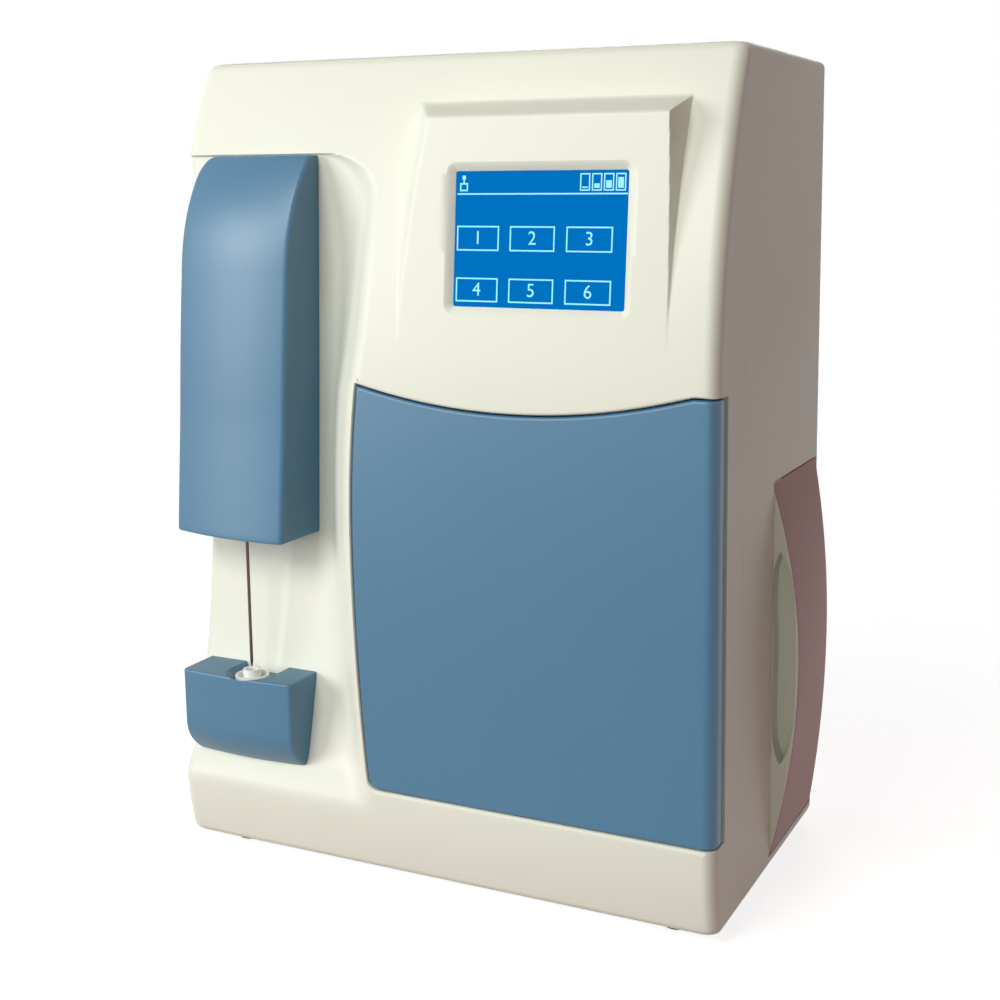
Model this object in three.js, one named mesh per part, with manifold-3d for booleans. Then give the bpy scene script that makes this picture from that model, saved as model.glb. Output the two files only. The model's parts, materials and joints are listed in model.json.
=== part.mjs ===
// Bench electrolyte analyzer with a blue front door, a needle sampler and a slide-out reagent pack.
// Millimetres, +Z up, +X to the viewer's right, +Y to the back. Inside the group z is zero at the
// casing's bottom, x is zero at its middle and y is zero at the foremost plane of its front.
import * as THREE from "three";
import { mergeVertices } from "three/addons/utils/BufferGeometryUtils.js";
import Module from "manifold-3d";

const wasm = await Module();
wasm.setup();

// Fits
const seat = 0.3; // between pieces that rest on or in each other
const running = 0.5; // between pieces that move past each other
const clear = 1; // around cut-outs that something passes through
const past = 60; // how far a cutter runs out of what it cuts

// Casing
const case_half_width = 147.5;
// A place across the casing, from its middle, that follows its half width.
const across_share = (s) => s * case_half_width;
const case_taper_share = 0.0163;
const case_height = 400;
const case_depth = 180;
const case_wall = 2.5;
const case_front_round = 6.5;
const case_rear_round = 11;
const case_top_round = 4;
const case_bottom_round = 5;
const lean_start = 245; // above this height the front leans back
const lean_radius = 304;
const toe_height = 46; // below this height the front draws back
const toe_radius = 150;
const seam_depth = 40; // where the front cover meets the main case
const seam_gap = 0.4;

// Recessed column on the left of the front
const column_depth = 30;
const column_middle = 190; // the height where the recess is deepest
const column_top = 354.5;
const column_bottom = 38;
const column_rise = 160;
const column_upper_rise = 8;
const column_lower_radius = 500;
const column_foot_share = 0.8; // slope of the floor where the recess ends below
const column_knee = 51.7; // height where that slope meets the curved floor
const column_wall_share = 0.9; // run of the side slope per depth
const column_edge = across_share(-0.20678);
const column_corner = 25;
const column_lip = 3.5; // cream land between the recess and the door

// Screen plateau
const plateau_left = across_share(-0.07797);
const plateau_right = across_share(0.81356);
const plateau_top = 376.5;
const plateau_bottom = 268;
const plateau_top_run = 6.5;
const plateau_left_share = 0.75;
const plateau_right_share = 0.16;
const plateau_root = 2; // how far its solid reaches behind the front surface

// Screen
const screen_x = across_share(0.38983);
const screen_z = 316;
const screen_wide = 83;
const screen_high = 60;
const screen_chamfer = 3;
const screen_depth = 2.6;
const screen_border = 5;
const glass_thick = 1.1;
const display_thick = 7;
const board_thick = 1.6;
const board_gap = 4;
const chip_size = 9;
const chip_high = 1.4;

// Door
const door_bottom = 46;
const door_top = 249.6;
const door_bulge_x = across_share(-0.26102);
const door_bulge_z = 175;
const door_upper_radius = 575;
const door_lower_radius = 1225;
const door_smile_x = across_share(0.30508);
const door_smile_z = 237.5;
const door_smile_radius = 320;
const door_thick = 15;
const door_skin = 3;
const door_step = 1.2; // how far the rim stands inside the skin's edge
const door_gap = 0.7;
const door_corner = 6;
const hinge_inset = door_thick / 2;
const pin_radius = 2;
const pin_reach = 9;
const ear_high = 12;
const rebate_skin = 2.5;

// Compartment behind the door
const mouth_left = across_share(-0.16271);
const mouth_right = across_share(0.8678);
const mouth_bottom = 57;
const mouth_top = 227;
const liner_wall = 1.5;
const liner_depth = 55;
const liner_lap = 5;

// Electrode module
const holder_x = across_share(0.05424);
const holder_wide = across_share(0.70508);
const holder_z = 136;
const holder_high = 58;
const holder_back = 10;
const ledge_high = 9;
const holder_end = 12;
const electrode_count = 4;
const press_room = 9.6; // for the pressure plate and its travel
const electrode_high = 34;
const electrode_deep = 26;
const electrode_gap = 0.6;
const electrode_wide = (holder_wide - 2 * holder_end - press_room) / electrode_count - electrode_gap;
const electrode_cap_radius = 0.353 * electrode_wide;
const electrode_cap_high = 7;
const electrode_window = 6;
const knob_radius = 9;
const knob_long = 13;
const spindle_radius = 4;

// Pump
const pump_x = across_share(0.09492);
const pump_z = 91;
const pump_half = 26;
const pump_thick = 20;
const race_radius = 21.6;
const rotor_radius = 17.8;
const roller_radius = 4;
const roller_count = 3;
const hub_radius = 9;
const rotor_thick = 13;
const motor_radius = 18;
const motor_long = 38;
const shaft_radius = 2.5;

// Valve
const valve_x = across_share(0.62373);
const valve_z = 88;
const valve_wide = 46;
const valve_high = 30;
const valve_deep = 26;
const coil_radius = 8;
const coil_long = 14;
const port_radius = 2.6;
const port_long = 5;

// Sampler
const sampler_bottom = 167;
const sampler_top = 353.2;
const sampler_wall = 2;
const sampler_left = across_share(-0.98305);
const sampler_left_lean = 13; // how far its left side leans in at the top
const sampler_right = across_share(-0.50983);
const sampler_right_lean = 10.6; // how far its right side leans out at the top
const sampler_top_round = 10;
const sampler_front = -2.4; // its front at the right edge, above the toe
const sampler_toe = 3.1;
const sampler_toe_z = 230;
const sampler_roof_z = 300; // above this height the front rounds back
const sampler_crown = across_share(-0.11525); // from the right side to the foremost line
const sampler_bow_radius = 150;
const sampler_edge_cut = 2;
const probe_x = across_share(-0.70508);
const probe_y = 6.5;
const probe_radius = 0.8;
const probe_tip = 98;
const probe_top = 214;
const probe_travel = 60;
const probe_hole = 3.5;
const frame_left = across_share(-0.90712);
const frame_right = across_share(-0.52746);
const frame_bottom = 173;
const frame_top = 312;
const frame_front = 21.6;
const frame_thick = 1.8;
const rod_radius = 2;
const rod_left_x = across_share(-0.88136);
const rod_right_x = across_share(-0.65424);
const rod_y = 14.5;
const rod_bottom = 179;
const rod_top = 298;
const carriage_bottom = 196;
const carriage_top = 222;
const carriage_left = across_share(-0.91864);
const carriage_front = 9.2;
const lug_front = 4.6;
const lug_high = 10;
const lug_half = 5;
const carriage_back = 19.8;
const pulley_x = across_share(-0.57966);
const pulley_radius = 5;
const pulley_low_z = 188;
const pulley_high_z = 296;
const belt_thick = 1;
const belt_wide = 6;
const belt_y = 14.5;
const carriage_right = pulley_x - pulley_radius - belt_thick - 2 * seat;
const stepper_size = 35;
const stepper_long = 28;

// Sample tray and wash cup
const tray_top = 95;
const tray_bottom = 47;
const tray_left = across_share(-0.94915);
const tray_right = across_share(-0.50169);
const tray_wall = 2.5;
const tray_bow = 4.5;
const cup_radius = 8.8;
const cup_foot_radius = 4.6;
const cup_wall = 1.6;
const cup_top = 94;
const cup_bottom = 78;
const cup_straight = 3;
const cup_well = 3;
const cup_notch = 3;
const spigot_radius = 3;

// Reagent pack in the right side
const pack_front = 0.5 * case_depth;
const pack_back_margin = 10;
const pack_back = case_depth - pack_back_margin;
const pack_bottom = 7.6;
const pack_top = 199;
const pack_gap = 0.6;
const pack_travel = 100;
const bulge_depth = 13.5;
const bulge_z = 108;
const bulge_up = 87;
const bulge_down = 100;
const bulge_back_share = 0.56;
const cover_plane = across_share(0.92542);
const groove_bottom = 57;
const groove_top = 165;
const groove_half = 4.2;
const groove_depth = 10;
const tray_box_left = across_share(0.50169);
const tray_box_wall = 2;
const tray_box_high = 62;
const tray_back_drop = 12; // of the tall back's top below the pack's top
const bottle_high = 150;
const bottle_gap = 0.8;
const bottle_round = 4;
const shoulder_high = 8;
const cap_radius = 9;
const cap_high = 10;
const coupler_z = 78;
const coupler_high = 12;
const coupler_long = 7;
const needle_radius = 1.2;
const needle_bore = 2;
const bay_wall = 1.5;
const bay_left = across_share(0.39322);
const rail_high = 3;
const rail_wide = 12;
const rail_inset = 6;

// Base, back and electrical pieces
const base_z = 2;
const base_corner = 9;
const base_thick = 2;
const base_margin = 5;
const foot_radius = 9;
const foot_high = 5;
const foot_inset_x = 26;
const foot_inset_y = 26;
const window_side = 22;
const window_bottom = 14;
const window_top = 380;
const panel_thick = 1.5;
const panel_lap = 6;
const vent_wide = 3;
const vent_high = 34;
const vent_pitch = 9;
const vent_count = 8;
const inlet_x = across_share(-0.56949);
const inlet_z = 44;
const inlet_wide = 27;
const inlet_high = 20;
const inlet_deep = 24;
const inlet_flange = 5;
const inlet_proud = 2;
const switch_x = across_share(-0.56949);
const switch_z = 82;
const switch_wide = 14;
const switch_high = 22;
const rocker_tilt_share = 1 / 60; // of a full turn, to each side of the middle
const serial_x = across_share(-0.13559);
const serial_z = 60;
const serial_wide = 30;
const serial_high = 12;
const serial_deep = 12;
const serial_proud = 4;
const supply_x = across_share(-0.85424);
const supply_wide = across_share(0.44746);
const supply_deep = 86;
const supply_high = 46;
const supply_margin = 40; // from its back to the casing's back
const main_board_x = across_share(-0.3661);
const main_board_deep = 82;
const main_board_margin = 14;
const main_board_y = case_depth - main_board_margin - main_board_deep;
const main_board_bottom = 14;
const main_board_high = 170;
const standoff_radius = 3;

// Tubing
const sample_exit_drop = 21; // from the mouth's top
const wash_exit_inset = 10; // from the mouth's right and bottom
const tube_radius = 1.5;
const tube_bend = 7;
const drain_radius = 2;

const weld = 0.0001;
const round_steps = 4;
const group = new THREE.Group();

const finish = (color, roughness, metalness = 0) =>
  new THREE.MeshStandardMaterial({ color, roughness, metalness });
const cream = () => finish(0xe9ebdd, 0.5);
const blue = () => finish(0x5f87a5, 0.45);
const mauve = () => finish(0xb9aaa6, 0.5);
const steel = () => finish(0xb4b7ba, 0.3, 0.9);
const dark = () => finish(0x2c2e31, 0.6);
const grey = () => finish(0x8b9095, 0.55);
const white = () => finish(0xf2f3f0, 0.4);
const green = () => finish(0x1f6b45, 0.5);
const clearish = () => finish(0xd6dde0, 0.2);

// Vertices and triangles become a solid with its faces outward.
function solidOf(positions, triangles) {
  const build = (list) =>
    new wasm.Manifold(
      new wasm.Mesh({
        numProp: 3,
        vertProperties: new Float32Array(positions),
        triVerts: new Uint32Array(list),
      }),
    );
  const made = build(triangles);
  if (made.volume() > 0) return made;
  const turned = [];
  for (let i = 0; i < triangles.length; i += 3)
    turned.push(triangles[i], triangles[i + 2], triangles[i + 1]);
  return build(turned);
}

// A closed three.js geometry becomes a solid that can be joined and cut.
function solid(geometry) {
  const bare = geometry.clone();
  bare.deleteAttribute("normal");
  bare.deleteAttribute("uv");
  const merged = mergeVertices(bare, weld);
  return solidOf(merged.attributes.position.array, merged.index.array);
}

// Adds one named mesh made of one or more solids.
function node(name, material, ...solids) {
  const whole = solids.reduce((sum, next) => sum.add(next));
  const mesh = whole.getMesh();
  const geometry = new THREE.BufferGeometry();
  geometry.setAttribute("position", new THREE.BufferAttribute(mesh.vertProperties, 3));
  geometry.setIndex(new THREE.BufferAttribute(mesh.triVerts, 1));
  geometry.computeVertexNormals();
  const made = new THREE.Mesh(geometry, material);
  made.name = name;
  group.add(made);
  return whole;
}

// Drops the coordinate along an axis, keeping a right-handed pair.
const flat = {
  x: (p) => new THREE.Vector2(p.y, p.z),
  y: (p) => new THREE.Vector2(p.z, p.x),
  z: (p) => new THREE.Vector2(p.x, p.y),
};

// A body through rings of equally many points; its two ends are closed.
function loft(rings, axis = "z") {
  const first = rings[0].map(flat[axis]);
  const clockwise = THREE.ShapeUtils.isClockWise(first);
  const ordered = clockwise ? rings.map((ring) => [...ring].reverse()) : rings;
  const count = first.length;
  const positions = ordered.flat().flatMap((p) => [p.x, p.y, p.z]);
  const triangles = [];
  for (let k = 0; k + 1 < ordered.length; k++)
    for (let i = 0; i < count; i++) {
      const j = (i + 1) % count;
      const low = k * count;
      const high = low + count;
      triangles.push(low + i, low + j, high + j, low + i, high + j, high + i);
    }
  const cap = (ring, start, forward) => {
    for (const [a, b, c] of THREE.ShapeUtils.triangulateShape(ring.map(flat[axis]), []))
      triangles.push(start + a, start + (forward ? b : c), start + (forward ? c : b));
  };
  cap(ordered[0], 0, false);
  cap(ordered[ordered.length - 1], (ordered.length - 1) * count, true);
  return solidOf(positions, triangles);
}

// Places a flat outline at one value of an axis.
const place = {
  x: ([u, v], at) => new THREE.Vector3(at, u, v),
  y: ([u, v], at) => new THREE.Vector3(u, at, v),
  z: ([u, v], at) => new THREE.Vector3(u, v, at),
};

// A straight body with the outline given across the axis.
const prism = (outline, axis, from, to) =>
  loft([from, to].map((at) => outline.map((point) => place[axis](point, at))), axis);

const box = (x0, x1, y0, y1, z0, z1) =>
  solid(
    new THREE.BoxGeometry(x1 - x0, y1 - y0, z1 - z0).translate(
      (x0 + x1) / 2,
      (y0 + y1) / 2,
      (z0 + z1) / 2,
    ),
  );

function circle(u, v, radius, sides = 16) {
  const points = [];
  for (let i = 0; i < sides; i++) {
    const angle = (2 * Math.PI * (i + 0.5)) / sides;
    points.push([u + radius * Math.cos(angle), v + radius * Math.sin(angle)]);
  }
  return points;
}

const rod = (axis, u, v, radius, from, to, sides = 16) =>
  prism(circle(u, v, radius, sides), axis, from, to);

// A rectangle with round corners, counter-clockwise.
function rounded(u0, u1, v0, v1, radius, steps = round_steps) {
  const points = [];
  const corner = (cu, cv, start) => {
    for (let i = 0; i <= steps; i++) {
      const angle = start + (Math.PI / 2) * (i / steps);
      points.push([cu + radius * Math.cos(angle), cv + radius * Math.sin(angle)]);
    }
  };
  corner(u1 - radius, v1 - radius, 0);
  corner(u0 + radius, v1 - radius, Math.PI / 2);
  corner(u0 + radius, v0 + radius, Math.PI);
  corner(u1 - radius, v0 + radius, 1.5 * Math.PI);
  return points;
}

// Rounds the corners of a route of straight lines.
function route(points, bend = tube_bend) {
  const path = [points[0]];
  for (let i = 1; i + 1 < points.length; i++) {
    const corner = points[i];
    const before = points[i - 1].clone().sub(corner);
    const after = points[i + 1].clone().sub(corner);
    const reach = Math.min(bend, before.length() / 2.2, after.length() / 2.2);
    const start = corner.clone().addScaledVector(before.normalize(), reach);
    const end = corner.clone().addScaledVector(after.normalize(), reach);
    const curve = new THREE.QuadraticBezierCurve3(start, corner, end);
    path.push(...curve.getPoints(3));
  }
  path.push(points[points.length - 1]);
  return path;
}

// A round tube along a path of points, square to its first and last step.
function tube(path, radius, sides = 8) {
  const positions = [];
  const triangles = [];
  let across = new THREE.Vector3();
  const steps = path.slice(1).map((p, i) => p.clone().sub(path[i]).normalize());
  path.forEach((point, k) => {
    const before = steps[Math.max(k - 1, 0)];
    const after = steps[Math.min(k, steps.length - 1)];
    const ahead = before.clone().add(after).normalize();
    if (k === 0) {
      const helper = Math.abs(ahead.z) > 0.9 ? new THREE.Vector3(1, 0, 0) : new THREE.Vector3(0, 0, 1);
      across.crossVectors(ahead, helper).normalize();
    } else across.addScaledVector(ahead, -across.dot(ahead)).normalize();
    const side = new THREE.Vector3().crossVectors(ahead, across);
    for (let i = 0; i < sides; i++) {
      const angle = (2 * Math.PI * i) / sides;
      const p = point
        .clone()
        .addScaledVector(across, radius * Math.cos(angle))
        .addScaledVector(side, radius * Math.sin(angle));
      positions.push(p.x, p.y, p.z);
    }
  });
  for (let k = 0; k + 1 < path.length; k++)
    for (let i = 0; i < sides; i++) {
      const j = (i + 1) % sides;
      const low = k * sides;
      triangles.push(low + i, low + j, low + sides + j, low + i, low + sides + j, low + sides + i);
    }
  const end = (path.length - 1) * sides;
  for (let i = 1; i + 1 < sides; i++)
    triangles.push(0, i + 1, i, end, end + i, end + i + 1);
  return solidOf(positions, triangles);
}

const at = (x, y, z) => new THREE.Vector3(x, y, z);

// The front surface's distance back at a height.
function frontAt(z) {
  if (z > lean_start) return (z - lean_start) ** 2 / (2 * lean_radius);
  if (z < toe_height) return (toe_height - z) ** 2 / (2 * toe_radius);
  return 0;
}

const halfWidthAt = (z) => case_half_width - case_taper_share * z;

// How much the casing's outline draws in near its top and bottom edges.
function edgeRound(z) {
  const near = (distance, radius) =>
    distance >= radius ? 0 : radius - Math.sqrt(radius ** 2 - (radius - distance) ** 2);
  return near(z, case_bottom_round) + near(case_height - z, case_top_round);
}

function casingRing(z, level, inset) {
  const draw = inset + edgeRound(level);
  const x = halfWidthAt(level) - draw;
  const y0 = frontAt(level) + draw;
  const y1 = case_depth - draw;
  const points = [];
  const corner = (cx, cy, radius, start) => {
    for (let i = 0; i <= round_steps; i++) {
      const angle = start + (Math.PI / 2) * (i / round_steps);
      points.push(at(cx + radius * Math.cos(angle), cy + radius * Math.sin(angle), z));
    }
  };
  const front = case_front_round - inset;
  const rear = case_rear_round - inset;
  corner(x - rear, y1 - rear, rear, 0);
  corner(-x + rear, y1 - rear, rear, Math.PI / 2);
  corner(-x + front, y0 + front, front, Math.PI);
  corner(x - front, y0 + front, front, 1.5 * Math.PI);
  return points;
}

// Heights at which the leaning part of the front is cut into flat bands.
const lean_steps = 9;
const lean_end = case_height - case_top_round;
const lean_levels = [];
for (let i = 1; i <= lean_steps; i++)
  lean_levels.push(lean_start + ((lean_end - lean_start) * i) / lean_steps);

// The whole casing as a solid, drawn in by an inset on its sides and top but open at the bottom.
function casing(inset) {
  const levels = [0];
  for (const share of [0.15, 0.45, 1]) levels.push(case_bottom_round * share);
  levels.push(0.3 * toe_height, 0.6 * toe_height, toe_height, lean_start, ...lean_levels);
  for (const share of [0.55, 0.85, 1]) levels.push(lean_end + case_top_round * share);
  const bottom = inset > 0 ? past : 0;
  const rings = levels.map((level) =>
    casingRing(level > lean_start ? level - inset : level, level, inset),
  );
  if (bottom > 0) rings.unshift(casingRing(-bottom, 0, inset));
  return loft(rings);
}

// Distance back of the recessed column's floor at a height.
function columnAt(z) {
  if (z > column_middle)
    return column_depth - column_upper_rise * ((z - column_middle) / column_rise) ** 2;
  const floor = column_depth - (column_middle - z) ** 2 / (2 * column_lower_radius);
  return Math.min(floor, column_foot_share * (z - column_bottom));
}

// Heights at which the recess is cut into bands below its middle.
const column_levels = [column_bottom, (column_bottom + column_knee) / 2, column_knee];
const column_low_steps = 8;
for (let i = 1; i <= column_low_steps; i++)
  column_levels.push(column_knee + ((column_middle - column_knee) * i) / column_low_steps);

function doorLeftAt(z) {
  const radius = z > door_bulge_z ? door_upper_radius : door_lower_radius;
  return door_bulge_x + (z - door_bulge_z) ** 2 / (2 * radius);
}

// Where the column's side slope meets the front surface.
function columnEdgeAt(z) {
  const round_start = column_top - column_corner;
  if (z >= round_start)
    return (
      column_edge -
      column_corner +
      Math.sqrt(Math.max(column_corner ** 2 - (z - round_start) ** 2, 0))
    );
  const door_side = doorLeftAt(Math.min(z, door_top)) - column_lip;
  if (z <= lean_start) return door_side;
  const share = (z - lean_start) / (round_start - lean_start);
  const ease = 1 - (1 - share) ** 3;
  return door_side + (column_edge - door_side) * ease;
}

// What the recess takes from the casing; grown by a margin it shapes the wall behind it.
function columnCutter(margin) {
  const levels = [...column_levels];
  const high_steps = 3;
  const round_start = column_top - column_corner;
  for (let i = 1; i <= high_steps; i++)
    levels.push(column_middle + ((lean_start - column_middle) * i) / high_steps);
  levels.push(...lean_levels.filter((level) => level < round_start - clear), round_start);
  for (const share of [0.35, 0.6, 0.8, 0.92, 1])
    levels.push(round_start + (column_corner - clear) * share);
  const rings = levels.map((level, index) => {
    const y0 = frontAt(level);
    const depth = columnAt(level) - y0;
    const span = Math.max(depth, 2 * clear);
    const edge = columnEdgeAt(level) + 1.4 * margin;
    const z = index + 1 < levels.length ? level : level + margin;
    const run = column_wall_share * span;
    return [
      at(-case_half_width - past, -past, z),
      at(edge + clear, -past, z),
      at(edge + clear, y0 - clear + margin, z),
      at(edge - 0.74 * run, y0 + 0.74 * depth + margin, z),
      at(edge - 0.96 * run, y0 + 0.94 * depth + margin, z),
      at(edge - 1.14 * run, y0 + depth + margin, z),
      at(-case_half_width - past, y0 + depth + margin, z),
    ];
  });
  return loft(rings);
}

const plateau_slope_share = (plateau_bottom - lean_start) / lean_radius;
const plateauAt = (z) => frontAt(plateau_bottom) + plateau_slope_share * (z - plateau_bottom);

// The raised field round the screen, drawn in by an inset.
function plateau(inset) {
  const inner_top = plateau_top - plateau_top_run;
  const steps = 7;
  const rings = [];
  const ring = (level, face) => {
    const depth = frontAt(level) - face;
    const y0 = frontAt(level) + inset;
    const left = plateau_left + inset;
    const right = plateau_right - inset;
    const z = level - inset;
    return [
      at(left, y0 + plateau_root, z),
      at(left, y0, z),
      at(left + plateau_left_share * depth + weld, face + inset - weld, z),
      at(right - plateau_right_share * depth - weld, face + inset - weld, z),
      at(right, y0, z),
      at(right, y0 + plateau_root, z),
    ];
  };
  for (let i = 0; i <= steps; i++) {
    const level = plateau_bottom + ((inner_top - plateau_bottom) * (i + 0.3)) / (steps + 0.3);
    rings.push(ring(level, plateauAt(level)));
  }
  rings.push(ring(plateau_top, frontAt(plateau_top) - weld));
  return loft(rings);
}

const screen_tilt = Math.atan(plateau_slope_share);

// Moves a solid from the screen's own frame (x across, y into the case, z up its face) to its place.
function onScreen(made) {
  const matrix = new THREE.Matrix4()
    .makeTranslation(screen_x, plateauAt(screen_z), screen_z)
    .multiply(new THREE.Matrix4().makeRotationX(-screen_tilt));
  return made.transform(matrix.elements);
}

// The screen's window with its chamfered border.
function screenWindow() {
  const rect = (grow, y) =>
    rounded(
      -screen_wide / 2 - grow,
      screen_wide / 2 + grow,
      -screen_high / 2 - grow,
      screen_high / 2 + grow,
      1 + grow,
      2,
    ).map((point) => place.y(point, y));
  const slope = loft([rect(2 * screen_chamfer, -screen_depth), rect(0, screen_depth)], "y");
  const through = loft([rect(0, screen_depth - clear), rect(0, past)], "y");
  return onScreen(slope.add(through));
}

function doorOutline(grow) {
  const points = [];
  const steps = 9;
  const bottom = door_bottom - grow;
  const left = (z) => doorLeftAt(z) - grow;
  const top = (x) => {
    const arc =
      door_smile_z +
      door_smile_radius -
      Math.sqrt(door_smile_radius ** 2 - (x - door_smile_x) ** 2);
    return Math.min(arc, door_top) + grow;
  };
  const right = case_half_width + past;
  points.push([right, top(case_half_width)]);
  const flat_x = door_smile_x + Math.sqrt(2 * door_smile_radius * (door_top - door_smile_z));
  const corner_x = left(top(left(door_top)));
  for (let i = 0; i <= steps; i++) {
    const x = flat_x + ((corner_x - flat_x) * i) / steps;
    points.push([x, top(x)]);
  }
  const corner_z = top(corner_x);
  for (let i = 1; i <= steps; i++) {
    const z = corner_z + ((bottom + door_corner - corner_z) * i) / steps;
    points.push([left(z), z]);
  }
  const foot = left(bottom + door_corner);
  points.push([foot + 0.3 * door_corner, bottom + 0.3 * door_corner]);
  points.push([foot + door_corner, bottom]);
  points.push([right, bottom]);
  return points;
}

const hingeX = (z) => halfWidthAt(z) - hinge_inset;

// A round body along the door's hinge line.
function hingeRod(radius, from, to, sides = 24) {
  return loft(
    [from, to].map((z) => circle(hingeX(z), hinge_inset, radius, sides).map((p) => place.z(p, z))),
  );
}

// Everything to the left of the hinge line.
function leftOfHinge(shift, y0, y1) {
  const low = -past;
  const high = case_height;
  return prism(
    [
      [-case_half_width - past, low],
      [hingeX(low) + shift, low],
      [hingeX(high) + shift, high],
      [-case_half_width - past, high],
    ],
    "y",
    y0,
    y1,
  );
}

const outer = casing(0).add(plateau(0)).subtract(columnCutter(0));
const cavity = casing(case_wall).add(plateau(case_wall)).subtract(columnCutter(case_wall));
const shell = outer.subtract(cavity);
const slab = (y0, y1) =>
  box(-case_half_width - past, case_half_width + past, y0, y1, -past, case_height + past);

const rebate_front = door_thick + door_gap;
const rebate_back = rebate_front + rebate_skin;
const liner_front = rebate_back + seat;
const liner_back = liner_front + liner_depth;
const mount_plane = liner_back - liner_wall - seat; // pieces in the compartment stand on this plane

function frontCover() {
  const around = prism(doorOutline(door_gap + rebate_skin), "y", -past, rebate_back);
  const opening = prism(doorOutline(door_gap), "y", -past, rebate_front);
  const mouth = box(mouth_left, mouth_right, -past, past, mouth_bottom, mouth_top);
  const rebate = outer.intersect(around);
  const ears = outer.intersect(
    box(
      hingeX(door_top) - hinge_inset - clear,
      case_half_width,
      0,
      rebate_back,
      door_top,
      door_top + ear_high,
    ).add(
      box(
        hingeX(door_bottom) - hinge_inset - clear,
        case_half_width,
        0,
        rebate_back,
        door_bottom - ear_high,
        door_bottom,
      ),
    ),
  );
  const pins = hingeRod(pin_radius + seat, door_bottom - pin_reach, door_top + pin_reach);
  const jamb = hingeRod(hinge_inset + door_gap, door_bottom - door_gap, door_top + door_gap);
  const rod_hole = rod("y", pulley_x, pulley_high_z, shaft_radius + clear, -past, past);
  const cup_hole = rod("y", probe_x, cup_bottom - spigot_radius, spigot_radius + seat, 0, past);
  const line_hole = rod("y", line_x, line_z, tube_radius + clear, 0, past, 8);
  const front = shell.intersect(slab(-past, seam_depth));
  return node(
    "front_cover",
    cream(),
    front
      .add(rebate)
      .add(ears)
      .subtract(opening)
      .subtract(mouth)
      .subtract(jamb)
      .subtract(pins)
      .subtract(screenWindow())
      .subtract(rod_hole)
      .subtract(cup_hole)
      .subtract(line_hole),
  );
}

// The sample line leaves the housing through the column's floor here.
const line_x = probe_x - 5;
const line_z = 290;

function mainCase() {
  const window = box(
    -case_half_width + window_side,
    case_half_width - window_side,
    case_depth - 2 * case_wall,
    case_depth + past,
    window_bottom,
    window_top,
  );
  const bay = box(
    bay_left,
    case_half_width + past,
    pack_front - pack_gap,
    pack_back + pack_gap,
    pack_bottom - pack_gap,
    pack_top + pack_gap,
  );
  node(
    "main_case",
    cream(),
    shell
      .intersect(slab(seam_depth + seam_gap, case_depth + past))
      .subtract(window)
      .subtract(bay),
  );
}

function doorLeaf() {
  const low = door_bottom;
  const high = door_top;
  const skin = prism(doorOutline(0), "y", 0, door_skin);
  const rim = prism(doorOutline(-door_step), "y", door_skin - weld, door_thick);
  const whole = skin.add(rim);
  const panel = whole.intersect(leftOfHinge(0, -past, past));
  const pocket = prism(doorOutline(-door_skin), "y", door_skin, past).intersect(
    leftOfHinge(-hinge_inset - door_skin, -past, past),
  );
  const barrel = hingeRod(hinge_inset, low, high);
  const bores = hingeRod(pin_radius + seat, low - past, low + pin_reach).add(
    hingeRod(pin_radius + seat, high - pin_reach, high + past),
  );
  node("door", blue(), panel.subtract(pocket).add(barrel).subtract(bores));
  node(
    "hinge_pin_lower",
    steel(),
    hingeRod(pin_radius, low - pin_reach + seat, low + pin_reach - seat, 12),
  );
  node(
    "hinge_pin_upper",
    steel(),
    hingeRod(pin_radius, high - pin_reach + seat, high + pin_reach - seat, 12),
  );
  const catch_z = door_bulge_z;
  const catch_x = doorLeftAt(catch_z) + door_skin + seat;
  const catch_half = 9;
  const catch_wide = 8;
  node(
    "catch_plate",
    steel(),
    box(
      catch_x,
      catch_x + catch_wide,
      door_skin + seat,
      door_thick - seat,
      catch_z - catch_half,
      catch_z + catch_half,
    ),
  );
}

function screen() {
  const border = (grow, y0, y1) =>
    onScreen(
      box(
        -screen_wide / 2 - grow,
        screen_wide / 2 + grow,
        y0,
        y1,
        -screen_high / 2 - grow,
        screen_high / 2 + grow,
      ),
    );
  const glass_front = case_wall + seat + clear / 2;
  const display_front = glass_front + glass_thick + seat;
  const display_back = display_front + display_thick;
  const board_front = display_back + board_gap;
  node("touch_panel", finish(0x0a6cc0, 0.25), border(screen_border, glass_front, glass_front + glass_thick));
  node("lcd_module", grey(), border(screen_border + 2, display_front, display_back));
  const pegs = [];
  for (const sx of [-1, 1])
    for (const sz of [-1, 1])
      pegs.push(
        onScreen(
          rod(
            "y",
            sx * (screen_wide / 2),
            sz * (screen_high / 2),
            standoff_radius,
            display_back + seat,
            board_front + weld,
            10,
          ),
        ),
      );
  const chips = onScreen(
    box(
      -chip_size,
      chip_size,
      board_front + board_thick - weld,
      board_front + board_thick + chip_high,
      -chip_size,
      chip_size,
    ),
  );
  node(
    "display_board",
    green(),
    border(screen_border - 1, board_front, board_front + board_thick).add(chips),
    ...pegs,
  );
}

// Front face of the sampler housing at a height, from its bottom to its top.
function samplerFrontAt(z) {
  const toe_share = Math.max((sampler_toe_z - z) / (sampler_toe_z - sampler_bottom), 0);
  const rise = Math.max(z - sampler_roof_z, 0);
  const roof_share = 0.00115;
  return sampler_front - sampler_toe * toe_share ** 1.5 + roof_share * rise ** 2.4;
}

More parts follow.
